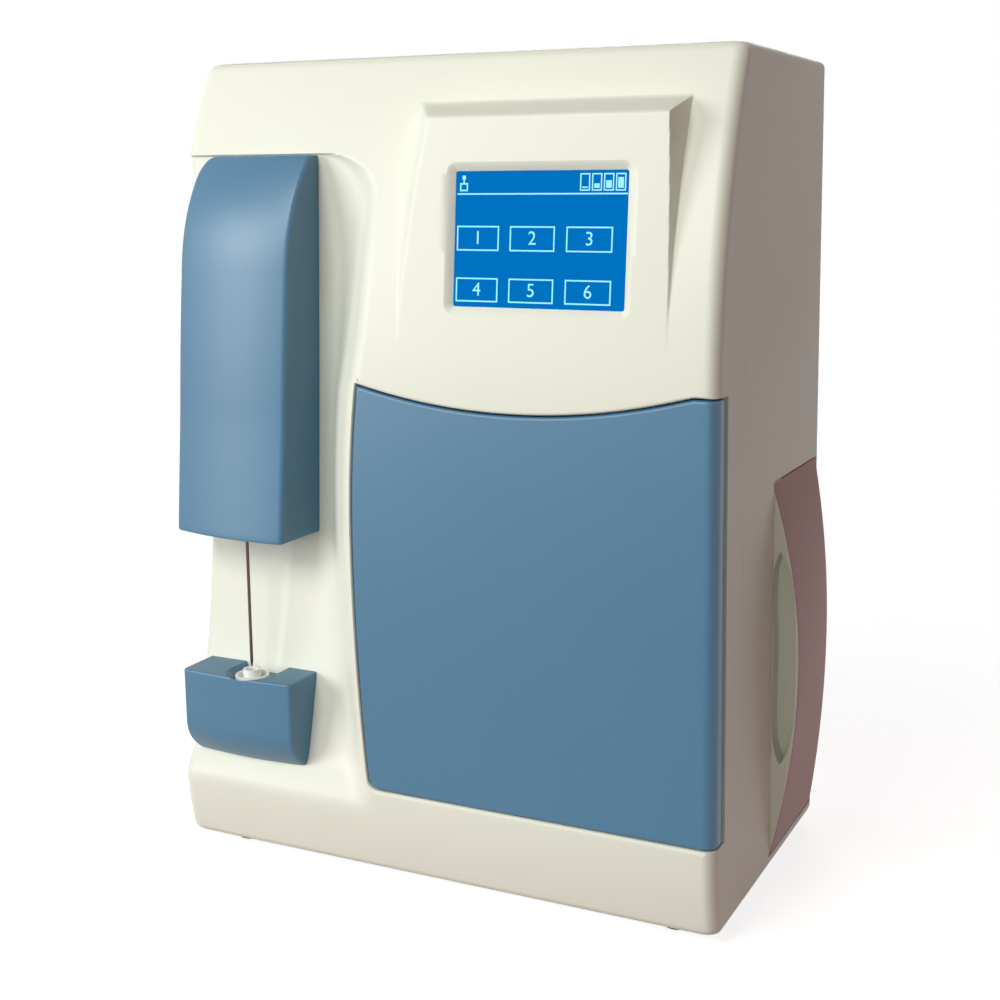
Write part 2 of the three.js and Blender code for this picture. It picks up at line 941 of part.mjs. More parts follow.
function samplerRing(z, inset, back, open_bottom) {
  const share = (z - sampler_bottom) / (sampler_top - sampler_bottom);
  const near_top = Math.max(sampler_top_round - (sampler_top - z), 0);
  const top_draw = sampler_top_round - Math.sqrt(sampler_top_round ** 2 - near_top ** 2);
  const left = sampler_left + sampler_left_lean * share ** 1.6 + 0.7 * top_draw + inset;
  const right = sampler_right + sampler_right_lean * share ** 1.5 - inset;
  const crown = right + inset + sampler_crown;
  const bow = (x) => ((x - crown) ** 2 - sampler_crown ** 2) / (2 * sampler_bow_radius);
  const front = samplerFrontAt(z) + inset;
  const steps = 9;
  const points = [at(right, back, open_bottom), at(left, back, open_bottom)];
  points.push(at(left, front + bow(left) + sampler_edge_cut, open_bottom));
  for (let i = 0; i <= steps; i++) {
    const x = left + sampler_edge_cut + ((right - left - sampler_edge_cut) * i) / steps;
    points.push(at(x, front + bow(x), open_bottom));
  }
  return points;
}

// The column's floor as a body, reaching back from a distance ahead of it.
function columnBody(ahead) {
  const outline = column_levels.map((z) => [columnAt(z) - ahead, z]);
  const steps = 9;
  for (let i = 1; i <= steps; i++) {
    const z = column_middle + ((sampler_top + 6 - column_middle) * i) / steps;
    outline.push([columnAt(z) - ahead, z]);
  }
  const first = outline[0];
  const last = outline[outline.length - 1];
  outline.push([last[0] + 2 * past, last[1]], [first[0] + 2 * past, first[1]]);
  return prism(outline, "x", -case_half_width - past, 0);
}

function samplerHousing() {
  const levels = [sampler_bottom];
  const steps = 9;
  for (let i = 1; i <= steps; i++)
    levels.push(sampler_bottom + (sampler_top - sampler_bottom) * (i / steps) ** 0.7);
  levels.splice(-1, 0, sampler_top - 1.5);
  const back = column_depth + past / 2;
  const body = loft(levels.map((z) => samplerRing(z, 0, back, z)));
  const inner = loft(
    levels.map((z, i) =>
      samplerRing(z, sampler_wall, back + clear, i ? z - sampler_wall : z + sampler_wall),
    ),
  );
  const hole = rod("z", probe_x, probe_y, probe_hole, -past, sampler_bottom + past, 12);
  node(
    "sampler_housing",
    blue(),
    body.subtract(inner).subtract(hole).subtract(columnBody(seat)),
  );
}

function samplerDrive() {
  const post = (x, z) =>
    rod("y", x, z, standoff_radius, frame_front + frame_thick - weld, columnAt(z) - seat, 10);
  const inset = 7;
  const frame = box(
    frame_left,
    frame_right,
    frame_front,
    frame_front + frame_thick,
    frame_bottom,
    frame_top,
  );
  const shaft_bore = rod("y", pulley_x, pulley_high_z, shaft_radius + running, 0, past);
  const line_bore = rod("y", line_x, line_z, tube_radius + clear, 0, past, 8);
  const shelf = (z) => box(frame_left, frame_right, rod_y - 4, frame_front + weld, z, z + 3);
  const rod_bores = rod("z", rod_left_x, rod_y, rod_radius + seat, 0, case_height).add(
    rod("z", rod_right_x, rod_y, rod_radius + seat, 0, case_height),
  );
  const probe_slot = rod("z", probe_x, probe_y, probe_radius + clear, 0, case_height);
  const belt_slot = box(
    pulley_x - pulley_radius - 3,
    pulley_x + pulley_radius + 3,
    belt_y - belt_wide,
    belt_y + belt_wide,
    0,
    case_height,
  );
  node(
    "sampler_frame",
    steel(),
    frame
      .add(shelf(rod_bottom))
      .add(shelf(rod_top - 3))
      .subtract(rod_bores)
      .subtract(probe_slot)
      .subtract(belt_slot)
      .subtract(shaft_bore)
      .subtract(line_bore)
      .add(post(frame_left + inset, frame_bottom + inset))
      .add(post(frame_right - inset, frame_bottom + inset))
      .add(post(frame_left + inset, frame_top - inset))
      .add(post(frame_right - inset, frame_top - inset)),
  );
  const guide = (name, x) =>
    node(name, steel(), rod("z", x, rod_y, rod_radius, rod_bottom - 1, rod_top + 1, 12));
  guide("guide_rod_left", rod_left_x);
  guide("guide_rod_right", rod_right_x);
  const carriage = box(
    carriage_left,
    carriage_right,
    carriage_front,
    carriage_back,
    carriage_bottom,
    carriage_top,
  ).add(
    box(
      carriage_right - weld,
      pulley_x - 1,
      carriage_front,
      belt_y - belt_wide / 2 - seat,
      carriage_bottom + 8,
      carriage_top - 8,
    ),
  );
  const lug = box(
    probe_x - lug_half,
    probe_x + lug_half,
    lug_front,
    carriage_front + weld,
    carriage_bottom,
    carriage_bottom + lug_high,
  );
  node(
    "probe_carriage",
    dark(),
    carriage
      .add(lug)
      .subtract(rod_bores)
      .subtract(rod("z", probe_x, probe_y, probe_radius + seat, 0, case_height)),
  );
  const tip = probe_tip + 3;
  const needle = rod("z", probe_x, probe_y, probe_radius, tip, probe_top, 10);
  const point = loft([
    circle(probe_x, probe_y, 0.35 * probe_radius, 10).map((p) => place.z(p, probe_tip)),
    circle(probe_x, probe_y, probe_radius, 10).map((p) => place.z(p, tip + weld)),
  ]);
  const union_low = carriage_bottom + lug_high + seat;
  const union = rod("z", probe_x, probe_y, 1.6 * probe_radius, union_low, probe_top, 10);
  node("sample_probe", steel(), needle.add(point).add(union));
  const wheel = (name, z, to) =>
    node(
      name,
      grey(),
      rod("y", pulley_x, z, pulley_radius, belt_y - belt_wide / 2, belt_y + belt_wide / 2, 20)
        .add(rod("y", pulley_x, z, pulley_radius + 1.4, belt_y + belt_wide / 2 + seat - weld, belt_y + belt_wide / 2 + 1.4, 20))
        .add(rod("y", pulley_x, z, shaft_radius, belt_y, to, 12)),
    );
  wheel("drive_pulley", pulley_high_z, columnAt(pulley_high_z) + 3);
  wheel("idler_pulley", pulley_low_z, frame_front - seat);
  const reach = pulley_radius + seat;
  const loop = (radius) => {
    const points = [];
    const half = 8;
    for (let i = 0; i <= half; i++) {
      const angle = Math.PI * (i / half);
      points.push([pulley_x + radius * Math.cos(angle), pulley_high_z + radius * Math.sin(angle)]);
    }
    for (let i = 0; i <= half; i++) {
      const angle = Math.PI * (1 + i / half);
      points.push([pulley_x + radius * Math.cos(angle), pulley_low_z + radius * Math.sin(angle)]);
    }
    return points;
  };
  const wide = belt_wide / 2 - seat;
  node(
    "drive_belt",
    dark(),
    prism(loop(reach + belt_thick), "y", belt_y - wide, belt_y + wide).subtract(
      prism(loop(reach + 0.15), "y", belt_y - belt_wide, belt_y + belt_wide),
    ),
  );
  const motor_front = columnAt(pulley_high_z - stepper_size / 2) + case_wall + seat;
  const half = stepper_size / 2;
  node(
    "sampler_motor",
    dark(),
    prism(
      rounded(pulley_x - half, pulley_x + half, pulley_high_z - half, pulley_high_z + half, 4, 2),
      "y",
      motor_front,
      motor_front + stepper_long,
    ).subtract(rod("y", pulley_x, pulley_high_z, shaft_radius + running, 0, motor_front + 4)),
  );
}

// Front of the sample tray at a height, before its bow.
function trayFrontAt(z) {
  const top_y = -4;
  const curl_z = 68;
  const curl_depth = 14;
  if (z >= curl_z) return top_y;
  const share = (curl_z - z) / (curl_z - tray_bottom);
  return top_y + curl_depth * share ** 2.4;
}

function sampleTray() {
  const levels = [];
  const steps = 7;
  for (let i = 0; i <= steps; i++)
    levels.push(tray_bottom + (tray_top - tray_bottom) * (i / steps) ** 1.3);
  const ring = (z, inset, level) => {
    const left = tray_left + inset;
    const right = tray_right - inset;
    const back = columnAt(tray_bottom) + column_depth;
    const points = [at(right, back, level), at(left, back, level)];
    const bows = 8;
    for (let i = 0; i <= bows; i++) {
      const u = -1 + (2 * i) / bows;
      const x = (left + right) / 2 + ((right - left) / 2) * u;
      points.push(at(x, trayFrontAt(z) + inset + tray_bow * (u ** 2 - 1), level));
    }
    return points;
  };
  const body = loft(levels.map((z) => ring(z, 0, z)));
  const cone = (grow, top) => {
    const ring = (radius, z) =>
      circle(probe_x, probe_y, radius + grow, 24).map((p) => place.z(p, z));
    return loft([
      ring(cup_foot_radius, cup_bottom - grow),
      ring(cup_radius, cup_top - cup_straight),
      ring(cup_radius, top),
    ]);
  };
  const bore = cone(seat, tray_top + past);
  const notch = loft([
    circle(probe_x, probe_y, cup_radius + seat, 24).map((p) => place.z(p, cup_top - cup_notch)),
    circle(probe_x, probe_y, cup_radius + 2 * cup_notch, 24).map((p) => place.z(p, tray_top + clear)),
  ]);
  const drain = rod("z", probe_x, probe_y, spigot_radius + seat, 0, cup_bottom + past, 12);
  const side = rod("y", probe_x, cup_bottom - spigot_radius, spigot_radius + seat, probe_y, past, 12);
  node(
    "sample_tray",
    blue(),
    body
      .subtract(bore)
      .subtract(notch)
      .subtract(drain.intersect(box(-case_half_width, 0, 0, past, cup_bottom - 2 * spigot_radius - seat, cup_bottom + past)))
      .subtract(side)
      .subtract(columnBody(seat)),
  );
  const cup = cone(0, cup_top)
    .subtract(rod("z", probe_x, probe_y, cup_radius - cup_wall, cup_top - cup_straight, cup_top + past, 24))
    .subtract(rod("z", probe_x, probe_y, cup_well, cup_bottom + cup_wall, cup_top, 16));
  const collar = rod("z", probe_x, probe_y, cup_well + cup_wall, cup_top - 6, cup_top + 3, 16).subtract(
    rod("z", probe_x, probe_y, cup_well, cup_bottom + cup_wall, cup_top + past, 16),
  );
  const spigot = tube(
    route(
      [
        at(probe_x, probe_y, cup_bottom + cup_wall / 2),
        at(probe_x, probe_y, cup_bottom - spigot_radius),
        at(probe_x, columnAt(cup_bottom) + case_wall + 6, cup_bottom - spigot_radius),
      ],
      2.5,
    ),
    drain_radius,
    10,
  );
  node("wash_cup", white(), cup.add(collar).add(spigot));
}

function compartment() {
  const wall = liner_wall;
  const left = mouth_left - wall;
  const right = mouth_right + wall;
  const low = mouth_bottom - wall;
  const high = mouth_top + wall;
  const body = box(left, right, liner_front, liner_back, low, high);
  const flange = box(
    left - liner_lap,
    right + liner_lap,
    liner_front,
    liner_front + wall,
    low - liner_lap,
    high + liner_lap,
  );
  const hollow = box(
    mouth_left,
    mouth_right,
    liner_front - clear,
    liner_back - wall,
    mouth_bottom,
    mouth_top,
  );
  const shaft = rod("y", pump_x, pump_z, shaft_radius + clear, 0, case_depth);
  const holes = tube_exits.map((p) =>
    rod("y", p.x, p.z, tube_radius + clear, liner_front, case_depth, 8),
  );
  node(
    "compartment_liner",
    grey(),
    holes.reduce((sum, hole) => sum.subtract(hole), body.add(flange).subtract(hollow).subtract(shaft)),
  );
}

// Tubes pass the compartment's back wall at these places.
const sample_exit = at(across_share(-0.09492), 0, mouth_top - sample_exit_drop);
const wash_exit = at(mouth_right - wash_exit_inset, 0, mouth_bottom + wash_exit_inset);
const waste_exit = at(across_share(-0.10847), 0, mouth_bottom + 3 * tube_radius);
const standard_exit = at(valve_x - 0.5 * valve_high, 0, mouth_bottom + 6 * tube_radius);
const tube_exits = [sample_exit, wash_exit, waste_exit, standard_exit];

const electrode_names = [
  ["electrode_sodium", 0xe8c64a],
  ["electrode_potassium", 0xc9473f],
  ["electrode_chloride", 0x3f9a58],
  ["electrode_reference", 0x3d5fae],
];
const electrode_front = mount_plane - holder_back - seat - electrode_deep;
const electrode_floor = holder_z + ledge_high + seat;
const electrode_start = holder_x + holder_end + seat;
const electrode_line = electrode_floor + electrode_high * 0.3; // height of the sample passage
const electrode_end = electrode_start + electrode_names.length * (electrode_wide + electrode_gap);

function electrodes() {
  const back = mount_plane;
  const front = electrode_front - 2;
  const left = holder_x;
  const right = holder_x + holder_wide;
  const plate = box(left, right, back - holder_back, back, holder_z, holder_z + holder_high);
  const ledge = box(left, right, front, back, holder_z, holder_z + ledge_high);
  const end = (x0, x1) =>
    box(x0, x1, front, back, holder_z, electrode_floor + electrode_high * 0.8);
  const mid_y = electrode_front + electrode_deep / 2;
  const bore = rod("x", mid_y, electrode_line, spindle_radius + running, right - holder_end - clear, right + past);
  const inlet = rod("x", mid_y, electrode_line, tube_radius + seat, left - past, left + holder_end + clear, 8);
  const outlet_x = electrode_end + 3;
  const outlet = rod("z", outlet_x, mid_y, tube_radius + clear, 0, holder_z + ledge_high + clear, 8);
  node(
    "electrode_holder",
    white(),
    plate
      .add(ledge)
      .add(end(left, left + holder_end))
      .add(end(right - holder_end, right))
      .subtract(bore)
      .subtract(inlet)
      .subtract(outlet),
  );
  electrode_names.forEach(([name, color], i) => {
    const x0 = electrode_start + i * (electrode_wide + electrode_gap);
    const x1 = x0 + electrode_wide;
    const top = electrode_floor + electrode_high;
    const body = box(x0, x1, electrode_front, electrode_front + electrode_deep, electrode_floor, top);
    const cap = rod("z", (x0 + x1) / 2, mid_y, electrode_cap_radius, top - weld, top + electrode_cap_high);
    const recess = box(
      x0 + 3,
      x1 - 3,
      electrode_front - clear,
      electrode_front + 1.2,
      electrode_line - electrode_window,
      electrode_line + electrode_window,
    );
    node(name, finish(color, 0.4), body.subtract(recess).add(cap));
  });
  const press_left = electrode_end - electrode_gap + seat;
  const press_right = press_left + 6;
  node(
    "pressure_plate",
    white(),
    box(
      press_left,
      press_right,
      electrode_front,
      electrode_front + electrode_deep,
      electrode_floor,
      electrode_floor + electrode_high * 0.75,
    ).subtract(rod("z", outlet_x, mid_y, tube_radius + seat, 0, electrode_line, 8)),
  );
  const knob_left = right + running;
  const shaft = rod("x", mid_y, electrode_line, spindle_radius, press_right + seat, knob_left + weld);
  const grip = rod("x", mid_y, electrode_line, knob_radius, knob_left, knob_left + knob_long * 0.35, 24);
  const bar = box(
    knob_left + knob_long * 0.3,
    knob_left + knob_long,
    mid_y - 3,
    mid_y + 3,
    electrode_line - knob_radius + 1,
    electrode_line + knob_radius - 1,
  );
  node("lock_knob", dark(), shaft.add(grip).add(bar));
}

function pump() {
  const back = mount_plane;
  const front = back - pump_thick;
  const x0 = pump_x - pump_half;
  const x1 = pump_x + pump_half;
  const low = pump_z - pump_half;
  const rotor_back = back - pump_thick + rotor_thick;
  const race = rod("y", pump_x, pump_z, race_radius, front - past, rotor_back + running, 28);
  const slot = box(
    pump_x - race_radius,
    pump_x + race_radius,
    front - past,
    rotor_back + running,
    low - past,
    pump_z,
  );
  const bore = rod("y", pump_x, pump_z, shaft_radius + running, 0, case_depth);
  node(
    "pump_housing",
    grey(),
    prism(rounded(x0, x1, low, pump_z + pump_half, 5, 3), "y", front, back)
      .subtract(race)
      .subtract(slot)
      .subtract(bore),
  );
  const spread = rotor_radius - roller_radius;
  const plate_thick = 2;
  const hub = rod("y", pump_x, pump_z, hub_radius, front, rotor_back, 20)
    .add(rod("y", pump_x, pump_z, rotor_radius - 1, front, front + plate_thick, 28))
    .add(rod("y", pump_x, pump_z, shaft_radius, front, liner_back + seat + 8, 12))
    .add(box(pump_x - 8, pump_x + 8, front - 4, front + weld, pump_z - 2, pump_z + 2));
  const rollers = [];
  for (let i = 0; i < roller_count; i++) {
    const angle = (2 * Math.PI * (i + 0.25)) / roller_count;
    rollers.push(
      rod(
        "y",
        pump_x + spread * Math.cos(angle),
        pump_z + spread * Math.sin(angle),
        roller_radius,
        front + plate_thick - weld,
        rotor_back,
        12,
      ),
    );
  }
  node("pump_rotor", white(), rollers.reduce((sum, roller) => sum.add(roller), hub));
  node(
    "pump_motor",
    steel(),
    rod("y", pump_x, pump_z, motor_radius, liner_back + seat, liner_back + seat + motor_long, 24).subtract(
      rod("y", pump_x, pump_z, shaft_radius + running, 0, liner_back + seat + 9, 12),
    ),
  );
}

const valve_front = mount_plane - valve_deep;
const valve_left = valve_x - valve_wide / 2;
const valve_top = valve_z + valve_high / 2;

function valve() {
  const right = valve_left + valve_wide;
  const low = valve_z - valve_high / 2;
  const body = box(valve_left, right, valve_front, mount_plane, low, valve_top);
  const port = (x, z0, z1) => rod("z", x, valve_front + valve_deep / 2, port_radius, z0, z1, 12);
  node(
    "valve_block",
    clearish(),
    body
      .add(port(valve_left + 8, valve_top - weld, valve_top + port_long))
      .add(port(valve_left + 8, low - port_long, low + weld))
      .add(port(right - 8, low - port_long, low + weld)),
  );
  for (const [name, x] of [
    ["valve_coil_left", valve_left + 12],
    ["valve_coil_right", right - 12],
  ])
    node(
      name,
      dark(),
      rod("y", x, valve_z, coil_radius, valve_front - coil_long, valve_front - seat, 20).add(
        rod("y", x, valve_z, 0.4 * coil_radius, valve_front - coil_long - 2, valve_front - coil_long + weld, 12),
      ),
    );
}

// Outer face of the reagent pack's bulging cover.
function bulgeAt(y, z) {
  const reach = z > bulge_z ? bulge_up : bulge_down;
  const rise = Math.max(1 - ((z - bulge_z) / reach) ** 2, 0);
  const back = (y - pack_front) / (pack_back - pack_front);
  return halfWidthAt(z) + bulge_depth * rise * (1 - (1 - bulge_back_share) * back);
}

function reagentPack() {
  const cover_steps = 14;
  const rings = [];
  for (let i = 0; i <= cover_steps; i++) {
    const z = pack_bottom + ((pack_top - pack_bottom) * i) / cover_steps;
    const middle = (pack_front + pack_back) / 2;
    rings.push([
      at(cover_plane, pack_front, z),
      at(bulgeAt(pack_front, z), pack_front, z),
      at(bulgeAt(middle, z) + 0.4, middle, z),
      at(bulgeAt(pack_back, z), pack_back, z),
      at(cover_plane, pack_back, z),
    ]);
  }
  const groove_outline = [];
  const groove_steps = 8;
  const groove = (side, share) => {
    const z = groove_bottom + (groove_top - groove_bottom) * share;
    const bulge = bulgeAt(pack_front, z) - halfWidthAt(z);
    const half = groove_half * (1 - Math.abs(2 * share - 1) ** 5);
    return [halfWidthAt(z) + 0.5 * bulge + side * half, z];
  };
  for (let i = 0; i <= groove_steps; i++) groove_outline.push(groove(1, i / groove_steps));
  for (let i = groove_steps - 1; i > 0; i--) groove_outline.push(groove(-1, i / groove_steps));
  const cut = prism(groove_outline, "y", pack_front - past, pack_front + groove_depth);
  node("reagent_cover", mauve(), loft(rings).subtract(cut));

  const x0 = tray_box_left;
  const x1 = cover_plane - seat;
  const y0 = pack_front + 2;
  const y1 = pack_back - 2;
  const z0 = pack_bottom + 2;
  const wall = tray_box_wall;
  const shell_box = box(x0, x1, y0, y1, z0, z0 + tray_box_high).subtract(
    box(x0 + wall, x1 - wall, y0 + wall, y1 - wall, z0 + wall, z0 + past * 2),
  );
  const tall_back = box(x1 - wall, x1, y0, y1, z0, pack_top - tray_back_drop);
  node("reagent_tray", white(), shell_box.add(tall_back));

  const inner_y = y1 - y0 - 2 * wall;
  const deep = inner_y / 3 - bottle_gap;
  const names = ["bottle_standard_a", "bottle_standard_b", "bottle_waste"];
  names.forEach((name, i) => {
    const by = y0 + wall + bottle_gap / 2 + (inner_y / 3) * i;
    const left = x0 + wall + seat;
    const right = x1 - wall - seat;
    const bottom = z0 + wall + seat;
    const top = bottom + bottle_high;
    const mid_x = (left + right) / 2;
    const mid_y = by + deep / 2;
    const sides = rounded(left, right, by, by + deep, bottle_round, 3);
    const neck = rounded(
      mid_x - cap_radius,
      mid_x + cap_radius,
      mid_y - 0.4 * deep,
      mid_y + 0.4 * deep,
      bottle_round,
      3,
    );
    const body = loft([
      sides.map((p) => place.z(p, bottom)),
      sides.map((p) => place.z(p, top)),
      neck.map((p) => place.z(p, top + shoulder_high)),
    ]);
    const cap_bottom = top + shoulder_high;
    const cap = rod("z", mid_x, mid_y, cap_radius, cap_bottom - weld, cap_bottom + cap_high, 20);
    const spout_z = coupler_z + coupler_high / 2;
    const spout = rod("x", mid_y, spout_z, needle_bore + 1.6, x0 - coupler_long, left + 1, 12).subtract(
      rod("x", mid_y, spout_z, needle_bore, x0 - coupler_long - clear, x0 + 2, 12),
    );
    node(name, i === 2 ? finish(0xd9d2c0, 0.4) : clearish(), body.add(cap).add(spout));
  });

  const dock_left = bay_left + bay_wall + seat;
  const dock_right = x0 - coupler_long - clear;
  const needles = names.map((name, i) => {
    const by = y0 + wall + bottle_gap / 2 + (inner_y / 3) * i + deep / 2;
    return rod("x", by, coupler_z + coupler_high / 2, needle_radius, dock_left + 1, x0 - clear, 10);
  });
  node(
    "reagent_dock",
    grey(),
    needles.reduce(
      (sum, needle) => sum.add(needle),
      box(dock_left, dock_right, y0 + wall, y1 - wall, coupler_z, coupler_z + coupler_high),
    ),
  );
}

function reagentBay() {
  const y0 = pack_front - pack_gap - seat - bay_wall - 1;
  const y1 = pack_back + pack_gap + 1;
  const z0 = base_z + base_thick + seat;
  const z1 = pack_top + pack_gap + seat + 1;
  const right = halfWidthAt(z1) - case_wall - seat - 1;
  const front = box(bay_left, right, y0, y0 + bay_wall, z0, z1 + bay_wall);
  const top = box(bay_left, right, y0, y1, z1, z1 + bay_wall);
  const left = box(bay_left, bay_left + bay_wall, y0, y1, z0, z1 + bay_wall);
  const holes = dock_lines.map((y) =>
    rod("x", y, coupler_z + coupler_high / 2, tube_radius + clear, bay_left - past, bay_left + past, 8),
  );
  const cut = holes.reduce((sum, hole) => sum.add(hole));
  const rail = (y) => box(bay_left + weld, right, y, y + rail_wide, z0, z0 + rail_high);
  const upper = pack_bottom + 2 - seat;
  const lift = (y) => box(bay_left + weld, cover_plane - 2, y + 3, y + 7, z0 + rail_high - weld, upper);
  const front_y = pack_front + rail_inset;
  const back_y = pack_back - rail_inset - rail_wide;
  node(
    "bay_frame",
    steel(),
    front.add(top).add(left).subtract(cut.intersect(left)),
    rail(front_y),
    lift(front_y),
    rail(back_y),
    lift(back_y),
  );
}

const pack_inner = pack_back - pack_front - 4 - 2 * tray_box_wall;
const dock_lines = [0, 1, 2].map(
  (i) =>
    pack_front + 2 + tray_box_wall + bottle_gap / 2 + (pack_inner / 3) * i + (pack_inner / 3 - bottle_gap) / 2,
);

function baseAndBack() {
  const draw = case_wall + base_margin;
  const x = case_half_width - draw;
  node(
    "base_plate",
    steel(),
    prism(
      [
        [-x, frontAt(0) + draw],
        [x, frontAt(0) + draw],
        [x, case_depth - draw - base_corner],
        [x - base_corner, case_depth - draw],
        [-x + base_corner, case_depth - draw],
        [-x, case_depth - draw - base_corner],
      ],
      "z",
      base_z,
      base_z + base_thick,
    ),
  );
  const places = [
    ["foot_front_left", -1, 0],
    ["foot_front_right", 1, 0],
    ["foot_rear_left", -1, 1],
    ["foot_rear_right", 1, 1],
  ];
  for (const [name, side, back] of places) {
    const fx = side * (case_half_width - foot_inset_x);
    const fy = back ? case_depth - foot_inset_y : foot_inset_y;
    node(
      name,
      dark(),
      loft([
        circle(fx, fy, foot_radius * 0.85, 20).map((p) => place.z(p, -foot_high)),
        circle(fx, fy, foot_radius, 20).map((p) => place.z(p, base_z - seat)),
      ]),
    );
  }
  const half = case_half_width - window_side + panel_lap;
  const back = case_depth - case_wall - seat;
  let panel = box(-half, half, back - panel_thick, back, window_bottom - panel_lap, window_top + panel_lap);
  const through = (x0, x1, z0, z1) => box(x0, x1, back - past, back + past, z0, z1);
  const vent_start = -((vent_count - 1) * vent_pitch) / 2;
  for (let i = 0; i < vent_count; i++) {
    const vx = vent_start + i * vent_pitch;
    panel = panel.subtract(
      through(vx - vent_wide / 2, vx + vent_wide / 2, window_top - 2 * vent_high, window_top - vent_high),
    );
  }
  const hole = (hx, hz, wide, high) =>
    through(hx - wide / 2 - seat, hx + wide / 2 + seat, hz - high / 2 - seat, hz + high / 2 + seat);
  panel = panel
    .subtract(hole(inlet_x, inlet_z, inlet_wide, inlet_high))
    .subtract(hole(switch_x, switch_z, switch_wide, switch_high))
    .subtract(hole(serial_x, serial_z, serial_wide, serial_high));
  node("back_panel", steel(), panel);
  const plug = (px, pz, wide, high, y0, y1) =>
    box(px - wide / 2, px + wide / 2, y0, y1, pz - high / 2, pz + high / 2);
  const face = back + seat;
  const socket = plug(inlet_x, inlet_z, inlet_wide, inlet_high, back - inlet_deep, face + inlet_proud)
    .add(
      plug(
        inlet_x,
        inlet_z,
        inlet_wide + 2 * inlet_flange,
        inlet_high + inlet_flange,
        face,
        face + inlet_proud,
      ),
    )
    .subtract(plug(inlet_x, inlet_z, inlet_wide - 5, inlet_high - 5, back - 14, case_depth + past));
  const blades = [-7, 0, 7].map((dx) =>
    plug(inlet_x + dx, inlet_z + (dx ? -1.5 : 2.5), 2, 4, back - 15, face - 1),
  );
  node("power_inlet", dark(), blades.reduce((sum, blade) => sum.add(blade), socket));
  const wall = 1.5;
  const rocker_wide = switch_wide - 2 * (wall + running);
  const rocker_high = switch_high - 2 * (wall + running);
  const frame = plug(switch_x, switch_z, switch_wide, switch_high, back - 16, face + wall)
    .add(plug(switch_x, switch_z, switch_wide + 4, switch_high + 4, face, face + wall))
    .subtract(
      plug(switch_x, switch_z, switch_wide - 2 * wall, switch_high - 2 * wall, back - 9, case_depth + past),
    );
  node("switch_frame", dark(), frame);
  const pivot = face - 3;
  const rocker = plug(switch_x, switch_z, rocker_wide, rocker_high, pivot - 2, face + wall).subtract(
    rocker_notch(pivot, rocker_wide, rocker_high, face + wall),
  );
  const tilted = new THREE.Matrix4()
    .makeTranslation(0, pivot, switch_z)
    .multiply(new THREE.Matrix4().makeRotationX(-2 * Math.PI * rocker_tilt_share))
    .multiply(new THREE.Matrix4().makeTranslation(0, -pivot, -switch_z));
  node("power_rocker", finish(0x8c1d1a, 0.4), rocker.transform(tilted.elements));
  const shield = plug(serial_x, serial_z, serial_wide - 6, serial_high, back - serial_deep, face + serial_proud);
  const serial = shield
    .add(plug(serial_x, serial_z, serial_wide + 8, serial_high + 2, face, face + 1))
    .subtract(plug(serial_x, serial_z, serial_wide - 9, serial_high - 3, face - 2, case_depth + past));
  node("serial_port", steel(), serial);
}

// The rocker's face is dished along its middle, so that each half can be pressed.
function rocker_notch(pivot, wide, high, face) {
  const outline = [
    [face + clear, switch_z - high / 2 - clear],
    [face + clear, switch_z + high / 2 + clear],
    [face - 1.6, switch_z],
  ];
  return prism(outline, "x", switch_x - wide, switch_x + wide);
}

function electronics() {
  const z0 = base_z + base_thick + seat;
  const back = case_depth - supply_margin;
  const supply = box(supply_x, supply_x + supply_wide, back - supply_deep, back, z0, z0 + supply_high);
  node("power_supply", steel(), supply);
  const x0 = main_board_x;
  let board = box(
    x0,
    x0 + board_thick,
    main_board_y,
    main_board_y + main_board_deep,
    main_board_bottom,
    main_board_bottom + main_board_high,
  );
  const parts = [
    [0.25, 0.7, 16],
    [0.6, 0.75, 12],
    [0.35, 0.35, 10],
    [0.75, 0.4, 14],
  ];
  for (const [u, v, size] of parts) {
    const cy = main_board_y + u * main_board_deep;
    const cz = main_board_bottom + v * main_board_high;
    board = board.add(
      box(x0 - 4, x0 + weld, cy - size / 2, cy + size / 2, cz - size / 2, cz + size / 2),
    );
  }
  node("main_board", green(), board);
  const bracket = box(
    x0 - 18,
    x0 + board_thick + seat + bay_wall,
    main_board_y,
    main_board_y + main_board_deep,
    z0,
    z0 + bay_wall,
  )
    .add(
      box(
        x0 + board_thick + seat,
        x0 + board_thick + seat + bay_wall,
        main_board_y,
        main_board_y + main_board_deep,
        z0,
        main_board_bottom + 14,
      ),
    )
    .subtract(box(supply_x, supply_x + supply_wide + clear, 0, back + clear, 0, past));
  node("board_bracket", steel(), bracket);
}

